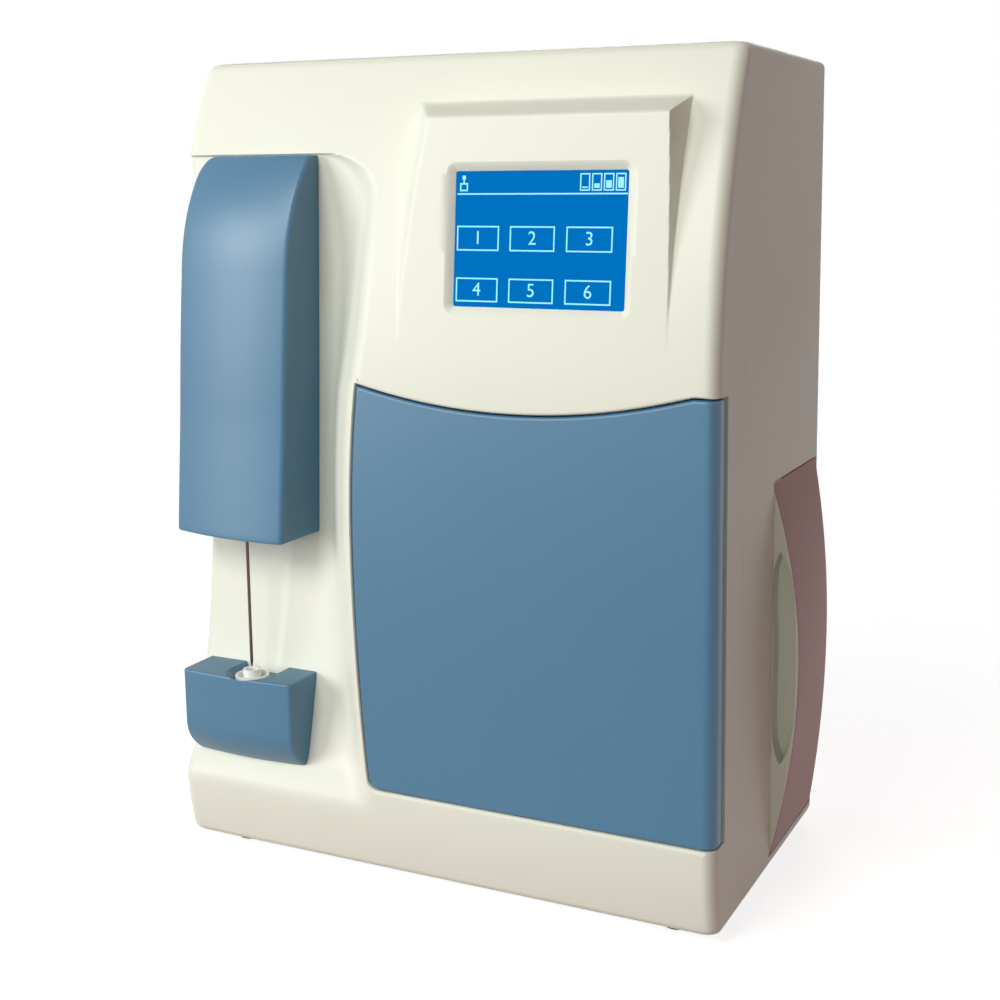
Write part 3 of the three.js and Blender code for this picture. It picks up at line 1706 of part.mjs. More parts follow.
// Tubing: each line follows its whole route.
function tubing() {
  const mid_y = electrode_front + electrode_deep / 2;
  const behind = liner_back + 8;
  const valve_y = valve_front + valve_deep / 2;
  const lines = {
    sample_line: [
      at(holder_x + 2, mid_y, electrode_line),
      at(sample_exit.x, mid_y, electrode_line),
      at(sample_exit.x, mid_y, sample_exit.z),
      at(sample_exit.x, behind, sample_exit.z),
      at(sample_exit.x - 34, behind, sample_exit.z),
      at(sample_exit.x - 34, behind, line_z),
      at(line_x, behind, line_z),
      at(line_x, frame_front - 2, line_z),
    ],
    pump_line: pumpLine(mid_y),
  };
  const loop = [
    at(line_x, frame_front - 2 - seat, line_z),
    at(line_x, rod_y, line_z),
    at(line_x, probe_y, carriage_top + 8),
    at(line_x, probe_y, probe_top + seat),
  ];
  node("probe_loop", clearish(), tube(route(loop, 4), tube_radius));
  node("sample_line", clearish(), tube(route(lines.sample_line), tube_radius));
  node("pump_line", clearish(), tube(lines.pump_line, tube_radius));
  const low = valve_z - valve_high / 2;
  const supply = (exit, x, y) =>
    tube(
      route([
        at(x, valve_y, low - port_long - seat),
        at(x, valve_y, exit.z),
        at(x, liner_back + 9, exit.z),
        at(bay_left - 8, liner_back + 9, exit.z),
        at(bay_left - 8, y, exit.z),
        at(bay_left - 8, y, coupler_z + coupler_high / 2),
        at(bay_left + bay_wall - seat, y, coupler_z + coupler_high / 2),
      ]),
      tube_radius,
    );
  node("standard_line_a", clearish(), supply(standard_exit, valve_left + 8, dock_lines[0]));
}

// From the electrodes' outlet round the pump's race and out through the back wall.
function pumpLine(mid_y) {
  const outlet_x = electrode_end + 3;
  const race_y = mount_plane - pump_thick + rotor_thick / 2 + 1;
  const radius = race_radius - tube_radius - seat;
  const bend = 5;
  const down = [
    at(outlet_x, mid_y, electrode_line - seat),
    at(outlet_x, mid_y, holder_z - 9),
    at(pump_x + pump_half + 12, race_y, holder_z - 9),
    at(pump_x + pump_half + 12, race_y, pump_z - pump_half - 5.5),
    at(pump_x + radius, race_y, pump_z - pump_half - 5.5),
    at(pump_x + radius, race_y, pump_z - 6),
  ];
  const path = route(down, bend);
  const turns = 12;
  for (let i = 0; i <= turns; i++) {
    const angle = Math.PI * (i / turns);
    path.push(at(pump_x + radius * Math.cos(angle), race_y, pump_z + radius * Math.sin(angle)));
  }
  const out = [
    at(pump_x - radius, race_y, pump_z - 6),
    at(pump_x - radius, race_y, waste_exit.z),
    at(waste_exit.x, race_y, waste_exit.z),
    at(waste_exit.x, liner_back + 12, waste_exit.z),
  ];
  path.push(...route(out, bend));
  return path;
}

frontCover();
mainCase();
doorLeaf();
screen();
samplerHousing();
samplerDrive();
sampleTray();
compartment();
electrodes();
pump();
valve();
reagentPack();
reagentBay();
baseAndBack();
electronics();
tubing();

// The reference point is the middle of the footprint, on the surface that the feet stand on.
const front_reach = Math.min(trayFrontAt(tray_top) - tray_bow, samplerFrontAt(sampler_bottom));
const left_reach = -case_half_width;
const right_reach = bulgeAt(pack_front, bulge_z);
const back_reach = case_depth - case_wall + serial_proud;
group.position.set(-(left_reach + right_reach) / 2, -(front_reach + back_reach) / 2, foot_high);

export default group;
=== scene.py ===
import json
import math

import bmesh
import bpy
import numpy as np
from mathutils import Matrix, Vector


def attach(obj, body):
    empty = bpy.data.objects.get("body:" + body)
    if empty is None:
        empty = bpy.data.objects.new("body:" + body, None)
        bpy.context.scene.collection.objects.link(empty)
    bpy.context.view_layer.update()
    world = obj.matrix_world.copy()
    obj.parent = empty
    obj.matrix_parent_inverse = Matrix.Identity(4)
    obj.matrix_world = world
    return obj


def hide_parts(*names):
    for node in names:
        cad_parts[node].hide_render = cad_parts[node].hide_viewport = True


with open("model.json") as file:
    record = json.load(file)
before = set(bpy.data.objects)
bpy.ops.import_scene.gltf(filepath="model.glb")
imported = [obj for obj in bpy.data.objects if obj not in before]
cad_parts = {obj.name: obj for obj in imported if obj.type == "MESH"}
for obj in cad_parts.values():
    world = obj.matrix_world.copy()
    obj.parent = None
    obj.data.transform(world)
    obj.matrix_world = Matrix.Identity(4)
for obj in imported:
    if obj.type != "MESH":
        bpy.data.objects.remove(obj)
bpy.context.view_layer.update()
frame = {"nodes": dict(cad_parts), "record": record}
scene = bpy.context.scene

SHIFT = np.array([-5.8698, -86.5, 5.0])
MM = 0.001
QUARTER = math.pi / 2
FINE_TURNS = (0, 0.4, 0.8, 1.2, QUARTER)
COARSE_TURNS = (0, 0.5, 1.0, QUARTER)
WELD_NEAR = 1e-7

# Edges sharper than these angles, in degrees, stay sharp
MOULD_ANGLE = 34
DOOR_ANGLE = 30
TURNED_ANGLE = 40
TUBE_ANGLE = 50
CAD_ANGLE = 38
SOFT_ANGLE = 40

# Places beyond the casing on every side, for the bodies that cut it
FAR_SIDE = 220.0
FAR_FRONT = -60.0
FAR_BACK = 300.0
FAR_LOW = -40.0
FAR_HIGH = 460.0
CUT_DEEP = 60.0

# Casing
HALF = 147.5
TAPER = 0.0163
HIGH = 400.0
DEEP = 180.0
WALL = 2.5
FRONT_ROUND = 6.5
REAR_ROUND = 11.0
TOP_ROUND = 4.0
BOTTOM_ROUND = 5.0
ROUND_STEPS = 7
LEAN_START = 245.0
LEAN_RADIUS = 304.0
TOE_HIGH = 46.0
TOE_RADIUS = 150.0
HOLLOW_LOW = -20.0
SEAM = 40.0
SEAM_GAP = 0.15
BASE_LOW = 2.0
BASE_THICK = 2.0
BASE_MARGIN = 5.0
BASE_CORNER = 9.0
BASE_GAP = 0.15
WINDOW_X = (-128.5, 128.5)
WINDOW_Z = (14.0, 380.0)
BAY_LEFT = 58.0
BAY_GAP = 0.6

# Recessed column; a run is mm across or up for each mm of depth
COLUMN_DEPTH = 30.0
COLUMN_MIDDLE = 190.0
COLUMN_RISE = 8.0
COLUMN_SPAN = 160.0
COLUMN_BOW = 1000.0
COLUMN_TOP = 354.5
COLUMN_LOW = 38.0
COLUMN_FOOT_TOP = 51.7
COLUMN_FOOT_SLOPE = 0.8
COLUMN_EDGE = -30.5
COLUMN_CORNER = 25.0
COLUMN_FROM_DOOR = 3.5
COLUMN_SIDE_RUN = 0.9
COLUMN_ROOF_RUN = 0.2
COLUMN_ROOF_ROUND = 1.5
COLUMN_GAP = 0.3
COLUMN_PAST = 6.0
CREST_ROUND = 5.0
CREST_LEAST = 0.6
FOOT_ROUND = 9.0

# Screen field
FIELD_LEFT = -11.5
FIELD_RIGHT = 120.0
FIELD_TOP = 376.5
FIELD_BOTTOM = 268.0
FIELD_SLOPE = (FIELD_BOTTOM - LEAN_START) / LEAN_RADIUS
FIELD_LEFT_RUN = 0.75
FIELD_RIGHT_RUN = 0.16
FIELD_TOP_SLOPE = 2.63
FIELD_CORNER = 0.5
FIELD_TOP_ROUND = 2.0
FIELD_EDGE_ROUND = 3.2
FIELD_FOOT_ROUND = 3.0
FIELD_LEAST = 0.3
SCREEN_X = 57.5
SCREEN_Z = 316.0
SCREEN_WIDE = 83.0
SCREEN_HIGH = 60.0
SCREEN_CORNER = 1.0
SCREEN_BORDER = 5.0
GLASS_BACK = 3.3
GLASS_THICK = 1.1
INK_PROUD = 0.04
INK_SUNK = 0.02
INK_LINE = 0.008
DIGIT_HIGH = 8.5
# The window's moulded edge: (depth, growth), from in front of the face to behind it
WINDOW_EDGE = (
    (-6.0, 11.0), (-0.8, 4.9), (0.0, 3.8), (0.4, 3.05), (1.0, 2.1), (2.3, 0.5), (2.7, 0.12),
    (3.1, 0.0), (30.0, 0.0),
)

# Door
DOOR_LOW = 46.0
DOOR_HIGH = 249.6
DOOR_THICK = 15.0
DOOR_SKIN = 3.0
DOOR_STEP = 1.2
DOOR_STEP_RUN = 0.25
DOOR_GAP = 0.7
DOOR_CORNER = 6.0
DOOR_ROUND = 1.6
DOOR_LEFT = -38.5
DOOR_WAIST = 175.0
DOOR_BOW_UP = 1150.0
DOOR_BOW_DOWN = 2450.0
DOOR_PAST = 60.0
OUTLINE_STEPS = 36
OPENING_ROUND = 1.5
REBATE_BACK = DOOR_THICK + DOOR_GAP + WALL
HINGE = DOOR_THICK / 2
POST_CORNER = 6.0
PIN_BORE = 2.3
PIN_REACH = 9.0
EAR_HIGH = 12.0
EAR_MARGIN = 1.0
SMILE_X = 45.0
SMILE_Z = 237.5
SMILE_RADIUS = 320.0
MOUTH = (-24.0, 128.0, 57.0, 227.0)
MOUTH_CORNER = 1.0
MOUTH_FRONT = 5.0

# Sampler; pairs are for its left and right sides
SAMPLER_LOW = 167.0
SAMPLER_HIGH = 354.0
SAMPLER_SIDES = (-145.0, -75.2)
SAMPLER_LEAN = (13.0, 10.6)
SAMPLER_POWERS = (1.6, 1.5)
SAMPLER_ROUNDS = (3.2, 2.4)
SAMPLER_LOW_ROUND = 1.2
SAMPLER_LIP = ((1.2, 0.0), (0.5, 0.2), (0.1, 0.6), (0.0, 0.9))
SAMPLER_WALL = 1.6
SAMPLER_CROWN = 17.0
SAMPLER_BOW = 150.0
SAMPLER_FRONT = -2.4
SAMPLER_TOE = 3.1
SAMPLER_TOE_HIGH = 230.0
SAMPLER_TOE_POWER = 1.5
CURL = 0.00115
CURL_START = 300.0
CURL_POWER = 2.4
SHOULDER_ROUND = 10.0
SHOULDER_DRAW = 0.7
PROBE = (-104.0, 6.5)
PROBE_HOLE = 3.5
HOLE_REACH = 30.0
NEEDLE_PROFILE = (
    (0, 98), (0.28, 98.0), (0.8, 101), (0.8, 206.3), (1.28, 206.4), (1.28, 213.9), (0.9, 214),
    (0, 214),
)
LINE_BESIDE = 5.0
LINE_X = PROBE[0] - LINE_BESIDE
LINE_RADIUS = 1.5
# The needle's flexible line, as cubic curves through (depth, height)
LINE_CURVES = (
    ((19.3, 290.0), (15.6, 290.0), (16.5, 280.0), (14.5, 268.0)),
    ((14.5, 268.0), (12.5, 256.0), (6.5, 250.0), (6.5, 236.0)),
    ((6.5, 236.0), (6.5, 229.0), (6.5, 222.0), (6.5, 214.3)),
)

# Tray and wash cup
TRAY_LOW = 47.0
TRAY_HIGH = 95.0
TRAY_SIDES = (-140.0, -74.0)
TRAY_FRONT = -4.0
TRAY_BACK = 40.0
TRAY_BOW = 2.0
TRAY_TOE = 14.0
TRAY_TOE_HIGH = 68.0
TRAY_TOE_POWER = 2.4
TRAY_ROUND = 2.0
TRAY_EDGE = 0.9
TRAY_CROWDING = 1.3
CUP_RADIUS = 8.8
CUP_FOOT = 4.6
CUP_LOW = 78.0
CUP_RIM = 91.0
CUP_GAP = 0.3
CUP_BORE_TOP = 160.0
NOTCH_TOP = 96.0
NOTCH_GROW = 6.0
SLOT_HALVES = (11.0, 14.0)
SLOT_ROUND = 4.0
SLOT_BACK = 45.0
DRAIN_Z = 75.0
DRAIN_RADIUS = 3.3
DRAIN_TOP = 80.0
SPIGOT_RADIUS = 2.0
SPIGOT_REACH = 8.5
CUP_PROFILE = (
    (0, 79.6), (2.7, 79.6), (3.0, 80.0), (3.0, 96.4), (3.25, 96.9), (3.9, 97.0), (4.5, 96.8),
    (4.6, 96.3), (4.6, 91.6), (4.9, 91.1), (6.6, 91.0), (7.1, 91.3), (7.2, 93.5), (7.5, 93.9),
    (8.3, 94.0), (8.7, 93.8), (8.8, 93.3), (8.8, 91), (4.6, 78.1), (4.4, 78.0), (2.0, 78.0),
    (2.0, 75.6), (0, 75.0),
)
# Small holes through the front: (name, x, z, radius)
FRONT_HOLES = (
    ("shaft_hole", -85.5, 296.0, 3.5),
    ("cup_hole", PROBE[0], DRAIN_Z, DRAIN_RADIUS),
    ("line_hole", LINE_X, 290.0, 2.5),
)

# Reagent pack
PACK_FRONT = 90.0
PACK_BACK = 170.0
PACK_LOW = 7.6
PACK_HIGH = 199.0
PACK_ROUND = 0.9
PACK_EDGE = 1.3
COVER_PLANE = 136.5
COVER_BOW = 0.4
COVER_LIP = 12.0
SKIN_NEAR = 0.3
BULGE = 13.5
BULGE_FADE = 0.44
BULGE_MIDDLE = 108.0
BULGE_UP = 87.0
BULGE_DOWN = 100.0
GROOVE_LOW = 57.0
GROOVE_LONG = 108.0
GROOVE_HALF = 5.4
GROOVE_SHARE = 0.44
GROOVE_POWER = 6
GROOVE_DEEP = 10.0
GROOVE_ROUND = 0.8

# Feet and back screws
FOOT_PLACES = {
    "front_left": (-121.5, 26), "front_right": (121.5, 26),
    "rear_left": (-121.5, 154), "rear_right": (121.5, 154),
}
FOOT_PROFILE = (
    (0, -4.4), (4.0, -4.4), (4.6, -5), (7.0, -5), (7.7, -4.5), (8.1, -2), (8.9, 1.2), (9.0, 1.7),
    (0, 1.7),
)
SCREW_Y = 177.2
SCREW_PLACES = [(x, z) for x in (-122, 0, 122) for z in (20, 374)] + [(-122, 197), (122, 197)]
SCREW_PROFILE = ((0, 0.0), (0.9, 0.0), (0.9, 0.9), (2.6, 1.3), (3.2, 0.9), (3.4, 0.0), (0, -0.2))
CROSS_LONG = (-2.2, 2.2)
CROSS_WIDE = (-0.35, 0.35)
CROSS_Z = (0.3, 3.0)

# Camera, in degrees and picture widths
CAMERA_PLACE = (339.7, -616.28, 339.0)
CAMERA_TURN = 25.83
CAMERA_DIP = 11.58
CAMERA_ROLL = -0.31
CAMERA_REACH = 1.53
SENSOR = 36


def row(points):
    return (np.asarray(points, float) + SHIFT) * MM


# ---------------------------------------------------------------- runs and forms shared by pieces


def evenly(start, end, count):
    return [start + (end - start) * i / count for i in range(count + 1)]


def spread(*runs):
    """Places from runs of (start, end, step), joined end to end."""
    places = [runs[0][0]]
    for start, end, step in runs:
        places += evenly(start, end, max(round((end - start) / step), 1))[1:]
    return places


def quarter(radius, turns):
    """(along, drop) pairs of a quarter round; turns are angles, or a number of even steps."""
    angles = evenly(0, QUARTER, turns) if isinstance(turns, int) else turns
    return [(radius * (1 - math.cos(a)), radius * (1 - math.sin(a))) for a in angles]


def rounded_run(start, end, rounds, steps, between):
    """(place, drop) pairs along a face whose two ends are rounded off."""
    run = [(start + along, drop) for along, drop in quarter(rounds[0], steps)]
    run += [(place, 0.0) for place in between]
    return run + [(end - along, drop) for along, drop in reversed(quarter(rounds[1], steps))]


def capped(low, high, radius, turns, between=()):
    """(level, inset) pairs up a body whose bottom and top edges are rounded off."""
    edge = quarter(radius, turns)
    levels = [(low + rise, draw) for rise, draw in edge] + [(z, 0.0) for z in between]
    return levels + [(high - fall, draw) for fall, draw in reversed(edge)]


def flare(depth, radius):
    """(distance behind the face, extra growth) pairs that round a cut's front edge."""
    return [(-3 * radius, 4 * radius), *quarter(radius, 5), (depth, 0.0)]


def front_at(z):
    if z > LEAN_START:
        return (z - LEAN_START) ** 2 / (2 * LEAN_RADIUS)
    if z < TOE_HIGH:
        return (TOE_HIGH - z) ** 2 / (2 * TOE_RADIUS)
    return 0.0


def half_at(z):
    return HALF - TAPER * z


def edge_draw(z):
    """How much the outline draws in near the top and bottom edges."""

    def near(d, r):
        return 0.0 if d >= r else r - math.sqrt(max(r * r - (r - d) ** 2, 0))

    return near(z, BOTTOM_ROUND) + near(HIGH - z, TOP_ROUND)


def column_at(z):
    if z > COLUMN_MIDDLE:
        return COLUMN_DEPTH - COLUMN_RISE * ((z - COLUMN_MIDDLE) / COLUMN_SPAN) ** 2
    bowed = COLUMN_DEPTH - (COLUMN_MIDDLE - z) ** 2 / COLUMN_BOW
    return min(bowed, COLUMN_FOOT_SLOPE * (z - COLUMN_LOW))


def door_left(z):
    return DOOR_LEFT + (z - DOOR_WAIST) ** 2 / (DOOR_BOW_UP if z > DOOR_WAIST else DOOR_BOW_DOWN)


def column_edge(z):
    start = COLUMN_TOP - COLUMN_CORNER
    if z >= start:
        arc = math.sqrt(max(COLUMN_CORNER**2 - (z - start) ** 2, 0))
        return COLUMN_EDGE - COLUMN_CORNER + arc
    side = door_left(min(z, DOOR_HIGH)) - COLUMN_FROM_DOOR
    if z <= LEAN_START:
        return side
    share = (z - LEAN_START) / (start - LEAN_START)
    return side + (COLUMN_EDGE - side) * (1 - (1 - share) ** 3)


def field_at(z):
    return front_at(FIELD_BOTTOM) + FIELD_SLOPE * (z - FIELD_BOTTOM)


def soft_max(a, b, r):
    h = max(r - abs(a - b), 0.0) / r
    return max(a, b) + h * h * r / 4


def soft_min(a, b, r):
    return -soft_max(-a, -b, r)


def face_at(x, z):
    """Depth of the moulded front at a place: lean, recessed column and raised screen field."""
    base = front_at(z)
    recess = soft_min(column_at(z), base + (column_edge(z) - x) / COLUMN_SIDE_RUN, FOOT_ROUND)
    crest = max(min(CREST_ROUND, (COLUMN_TOP + 1 - z) / 2), CREST_LEAST)
    recess = soft_min(recess, base + (COLUMN_TOP - z) / COLUMN_ROOF_RUN, COLUMN_ROOF_ROUND)
    depth = soft_max(base, recess, crest) if recess > base - crest else base
    if z > FIELD_BOTTOM:
        rise = base - field_at(z)
        left = base - (x - FIELD_LEFT) / FIELD_LEFT_RUN
        right = base - (FIELD_RIGHT - x) / FIELD_RIGHT_RUN
        top = base - (FIELD_TOP - z) * FIELD_TOP_SLOPE
        walls = soft_max(soft_max(left, right, FIELD_CORNER), top, FIELD_TOP_ROUND)
        field = soft_max(base - rise, walls, min(FIELD_EDGE_ROUND, FIELD_LEAST + rise))
        depth = soft_min(depth, field, min(FIELD_FOOT_ROUND, FIELD_LEAST + rise))
    return depth


# ---------------------------------------------------------------- mesh builders


def link(name, data):
    made = bpy.data.objects.new(name, data)
    scene.collection.objects.link(made)
    return made


def mesh_object(name, points, faces, weld=False):
    mesh = bpy.data.meshes.new(name)
    mesh.from_pydata(row(points).tolist(), [], faces)
    work = bmesh.new()
    work.from_mesh(mesh)
    if weld:
        bmesh.ops.remove_doubles(work, verts=work.verts, dist=WELD_NEAR)
    bmesh.ops.recalc_face_normals(work, faces=work.faces)
    work.to_mesh(mesh)
    work.free()
    return link(name, mesh)


def loft(name, rings):
    """A closed body through rings of equally many points."""
    count = len(rings[0])
    points = [p for ring in rings for p in ring]
    faces = [tuple(reversed(range(count))), tuple(range(len(points) - count, len(points)))]
    for a in range(0, len(points) - count, count):
        b = a + count
        for i in range(count):
            j = (i + 1) % count
            faces.append((a + i, a + j, b + j, b + i))
    return mesh_object(name, points, faces)


def prism(name, outline, axis, levels):
    """A body with a flat outline across an axis; levels are (place, outline) or plain places."""
    order = {"x": (1, 2, 0), "y": (0, 2, 1), "z": (0, 1, 2)}[axis]
    rings = []
    for level in levels:
        at, shape = level if isinstance(level, tuple) else (level, outline)
        ring = []
        for u, v in shape:
            p = [0.0, 0.0, 0.0]
            p[order[0]], p[order[1]], p[order[2]] = u, v, at
            ring.append(p)
        rings.append(ring)
    return loft(name, rings)


def circle(u, v, radius, sides):
    turn = 2 * math.pi / sides
    spots = [(math.cos(i * turn), math.sin(i * turn)) for i in range(sides)]
    return [(u + radius * c, v + radius * s) for c, s in spots]


def rounded(u0, u1, v0, v1, radius, steps=6):
    points = []
    for cu, cv, start in (
        (u1 - radius, v1 - radius, 0),
        (u0 + radius, v1 - radius, 1),
        (u0 + radius, v0 + radius, 2),
        (u1 - radius, v0 + radius, 3),
    ):
        for i in range(steps + 1):
            angle = QUARTER * (start + i / steps)
            points.append((cu + radius * math.cos(angle), cv + radius * math.sin(angle)))
    return points


def box(name, x=(-FAR_SIDE, FAR_SIDE), y=(FAR_FRONT, FAR_BACK), z=(FAR_LOW, FAR_HIGH)):
    """A block, which runs past the casing on each axis that isn't given."""
    return prism(name, [(x[0], y[0]), (x[1], y[0]), (x[1], y[1]), (x[0], y[1])], "z", z)


def revolve(name, profile, x, y, sides=64):
    """A body turned about a vertical axis; its profile is (radius, height) from axis to axis."""
    points = [(x + r * c, y + r * s, h) for c, s in circle(0, 0, 1, sides) for r, h in profile]
    count = len(profile)
    faces = []
    for k in range(sides):
        a, b = k * count, ((k + 1) % sides) * count
        for i in range(count - 1):
            faces.append((a + i, a + i + 1, b + i + 1, b + i))
    return mesh_object(name, points, faces, weld=True)


def combine(target, tool, operation="DIFFERENCE"):
    """Cuts, joins or intersects two closed bodies for good, and removes the second."""
    step = target.modifiers.new("step", "BOOLEAN")
    step.operation = operation
    step.solver = "MANIFOLD"
    step.object = tool
    graph = bpy.context.evaluated_depsgraph_get()
    made = bpy.data.meshes.new_from_object(target.evaluated_get(graph))
    target.modifiers.clear()
    old = target.data
    target.data = made
    bpy.data.meshes.remove(old)
    bpy.data.objects.remove(tool)
    return target


def copy_of(source, name):
    made = source.copy()
    made.data = source.data.copy()
    made.name = name
    scene.collection.objects.link(made)
    return made


def smooth(made, angle, weighted=True):
    made.data.shade_smooth()
    made.data.set_sharp_from_angle(angle=math.radians(angle))
    if weighted:
        step = made.modifiers.new("normals", "WEIGHTED_NORMAL")
        step.keep_sharp = True
        step.weight = 70


def tube(name, points, radius):
    """A round tube through points, as a curve with its ends closed."""
    data = bpy.data.curves.new(name, "CURVE")
    data.dimensions = "3D"
    data.bevel_depth = radius * MM
    data.bevel_resolution = 4
    data.use_fill_caps = True
    line = data.splines.new("POLY")
    line.points.add(len(points) - 1)
    for spot, p in zip(line.points, row(points)):
        spot.co = (*p, 1)
    line.use_smooth = True
    return link(name, data)


# ---------------------------------------------------------------- finishes

DRIFT_SCALE = 9.0
DRIFT_ENDS = (0.3, 0.7)
# Painted highlight: edges whose pointiness lies in this range are lightened toward a brighter copy
# of the colour.
HIGHLIGHT_POINTINESS = (0.53, 0.62)
HIGHLIGHT_LIGHTER = 1.5
GLOSS_RANGE = (-0.06, 0.07)
BUMP_DEPTH = 0.0004


def node(tree, kind, **inputs):
    made = tree.nodes.new(kind)
    for key, value in inputs.items():
        made.inputs[key].default_value = value
    return made


def srgb(*rgb):
    def lin(c):
        c /= 255
        return c / 12.92 if c <= 0.04045 else ((c + 0.055) / 1.055) ** 2.4

    return (*[lin(c) for c in rgb], 1.0)


def shaded(colour, factor):
    return (*[min(c * factor, 1.0) for c in colour[:3]], 1.0)


def finish(name, colour, rough, grain, relief, vary, metal=0.0, edge_highlight=0.06, **more):
    """A moulded or painted finish: fine grain, slow colour drift, uneven gloss, and sharp edges
    lightened as a painted highlight.
    """
    made = bpy.data.materials.new(name)
    made.use_nodes = True
    tree = made.node_tree
    tree.nodes.clear()
    out = tree.nodes.new("ShaderNodeOutputMaterial")
    body = tree.nodes.new("ShaderNodeBsdfPrincipled")
    tree.links.new(body.outputs["BSDF"], out.inputs["Surface"])
    place = tree.nodes.new("ShaderNodeTexCoord")
    drift = node(tree, "ShaderNodeTexNoise", Scale=DRIFT_SCALE, Detail=3.0)
    fine = node(tree, "ShaderNodeTexNoise", Scale=grain, Detail=2.0)
    for texture in (drift, fine):
        tree.links.new(place.outputs["Object"], texture.inputs["Vector"])
    tone = tree.nodes.new("ShaderNodeValToRGB")
    tone.color_ramp.elements[0].position = DRIFT_ENDS[0]
    tone.color_ramp.elements[1].position = DRIFT_ENDS[1]
    tone.color_ramp.elements[0].color = shaded(colour, 1 - vary)
    tone.color_ramp.elements[1].color = shaded(colour, 1 + vary * 0.5)
    tree.links.new(drift.outputs["Fac"], tone.inputs["Fac"])
    shape = tree.nodes.new("ShaderNodeNewGeometry")
    # Painted highlight: sharp convex edges, found by pointiness, are mixed toward a lighter copy of
    # the colour.
    highlight_mask = node(tree, "ShaderNodeMapRange")
    highlight_mask.inputs["From Min"].default_value = HIGHLIGHT_POINTINESS[0]
    highlight_mask.inputs["From Max"].default_value = HIGHLIGHT_POINTINESS[1]
    highlight_mask.inputs["To Max"].default_value = edge_highlight
    tree.links.new(shape.outputs["Pointiness"], highlight_mask.inputs["Value"])
    # Inputs 6 and 7 and output 2 are the colour sockets of this node.
    highlighted = tree.nodes.new("ShaderNodeMix")
    highlighted.data_type = "RGBA"
    tree.links.new(highlight_mask.outputs["Result"], highlighted.inputs[0])
    tree.links.new(tone.outputs["Color"], highlighted.inputs[6])
    highlighted.inputs[7].default_value = shaded(colour, HIGHLIGHT_LIGHTER)
    tree.links.new(highlighted.outputs[2], body.inputs["Base Color"])
    gloss = node(tree, "ShaderNodeMapRange")
    gloss.inputs["To Min"].default_value = rough + GLOSS_RANGE[0]
    gloss.inputs["To Max"].default_value = rough + GLOSS_RANGE[1]
    tree.links.new(drift.outputs["Fac"], gloss.inputs["Value"])
    tree.links.new(gloss.outputs["Result"], body.inputs["Roughness"])
    bump = node(tree, "ShaderNodeBump", Strength=relief, Distance=BUMP_DEPTH)
    tree.links.new(fine.outputs["Fac"], bump.inputs["Height"])
    tree.links.new(bump.outputs["Normal"], body.inputs["Normal"])
    body.inputs["Metallic"].default_value = metal
    for key, value in more.items():
        body.inputs[key.replace("_", " ")].default_value = value
    return made


# Each finish: material, colour, roughness, grain, relief, colour drift
# Every finish also carries a small painted highlight on its sharp edges; cream and blue set their
# own strength of it.
LOOKS = {
    "cream_plastic": finish(
        "cream_moulding", srgb(236, 238, 223), 0.42, 700, 0.06, 0.015,
        edge_highlight=0.05, Specular_IOR_Level=0.35,
    ),
    "blue_plastic": finish(
        "blue_moulding", srgb(47, 106, 139), 0.44, 1100, 0.1, 0.03,
        edge_highlight=0.1, Specular_IOR_Level=1.0,
    ),
    "mauve_plastic": finish(
        "mauve_moulding", srgb(188, 146, 143), 0.5, 800, 0.08, 0.06, Specular_IOR_Level=0.15
    ),
    "steel": finish("brushed_steel", srgb(170, 172, 174), 0.32, 1500, 0.06, 0.05, metal=0.9),
    "dark_plastic": finish("dark_moulding", srgb(48, 50, 54), 0.5, 1300, 0.1, 0.05),
    "rubber_feet": finish("foot_rubber", srgb(38, 38, 40), 0.75, 1600, 0.15, 0.08),
    "grey_plastic": finish("grey_moulding", srgb(140, 146, 151), 0.5, 1000, 0.08, 0.03),
    "white_plastic": finish("white_moulding", srgb(238, 239, 235), 0.38, 1200, 0.05, 0.015),
    "clear_plastic": finish(
        "clear_moulding", srgb(214, 222, 226), 0.18, 1200, 0.03, 0.02, Transmission_Weight=0.35
    ),
    "tubing": finish(
        "soft_tubing", srgb(225, 228, 222), 0.25, 1800, 0.05, 0.04, Transmission_Weight=0.3
    ),
    "circuit_board": finish("board_green", srgb(30, 92, 58), 0.45, 2500, 0.2, 0.12),
    "touch_glass": finish(
        "screen_blue", srgb(0, 26, 60), 0.25, 1500, 0.02, 0.03, Specular_IOR_Level=0.0
    ),
    "red_plastic": finish("rocker_red", srgb(140, 32, 28), 0.35, 1200, 0.05, 0.04),
    "sodium_yellow": finish("sodium_yellow", srgb(226, 190, 70), 0.4, 1200, 0.06, 0.04),
    "potassium_red": finish("potassium_red", srgb(190, 62, 54), 0.4, 1200, 0.06, 0.04),
    "chloride_green": finish("chloride_green", srgb(62, 148, 86), 0.4, 1200, 0.06, 0.04),
    "reference_blue": finish("reference_blue", srgb(58, 92, 168), 0.4, 1200, 0.06, 0.04),
    "waste_plastic": finish("waste_moulding", srgb(216, 209, 190), 0.4, 900, 0.06, 0.04),
}
SCREEN_INK = finish(
    "screen_ink", srgb(120, 190, 220), 0.3, 1500, 0.01, 0.02, Specular_IOR_Level=0.0
)
NEEDLE_STEEL = finish("needle_steel", srgb(98, 78, 76), 0.3, 1500, 0.05, 0.06, metal=0.85)
# The screen gives its own light, evenly.
for glowing, colour, power in (
    (LOOKS["touch_glass"], srgb(0, 111, 186), 1.0),
    (SCREEN_INK, srgb(150, 222, 245), 0.6),
):
    lit = next(n for n in glowing.node_tree.nodes if n.type == "BSDF_PRINCIPLED")
    lit.inputs["Emission Color"].default_value = colour
    lit.inputs["Emission Strength"].default_value = power


def dress(made, slot, body, *nodes):
    """Gives a new piece its finish, its body and the CAD nodes that it stands for."""
    if not any(made.data.materials):
        made.data.materials.clear()
        made.data.materials.append(LOOKS[slot])
    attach(made, body)
    if nodes:
        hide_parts(*nodes)


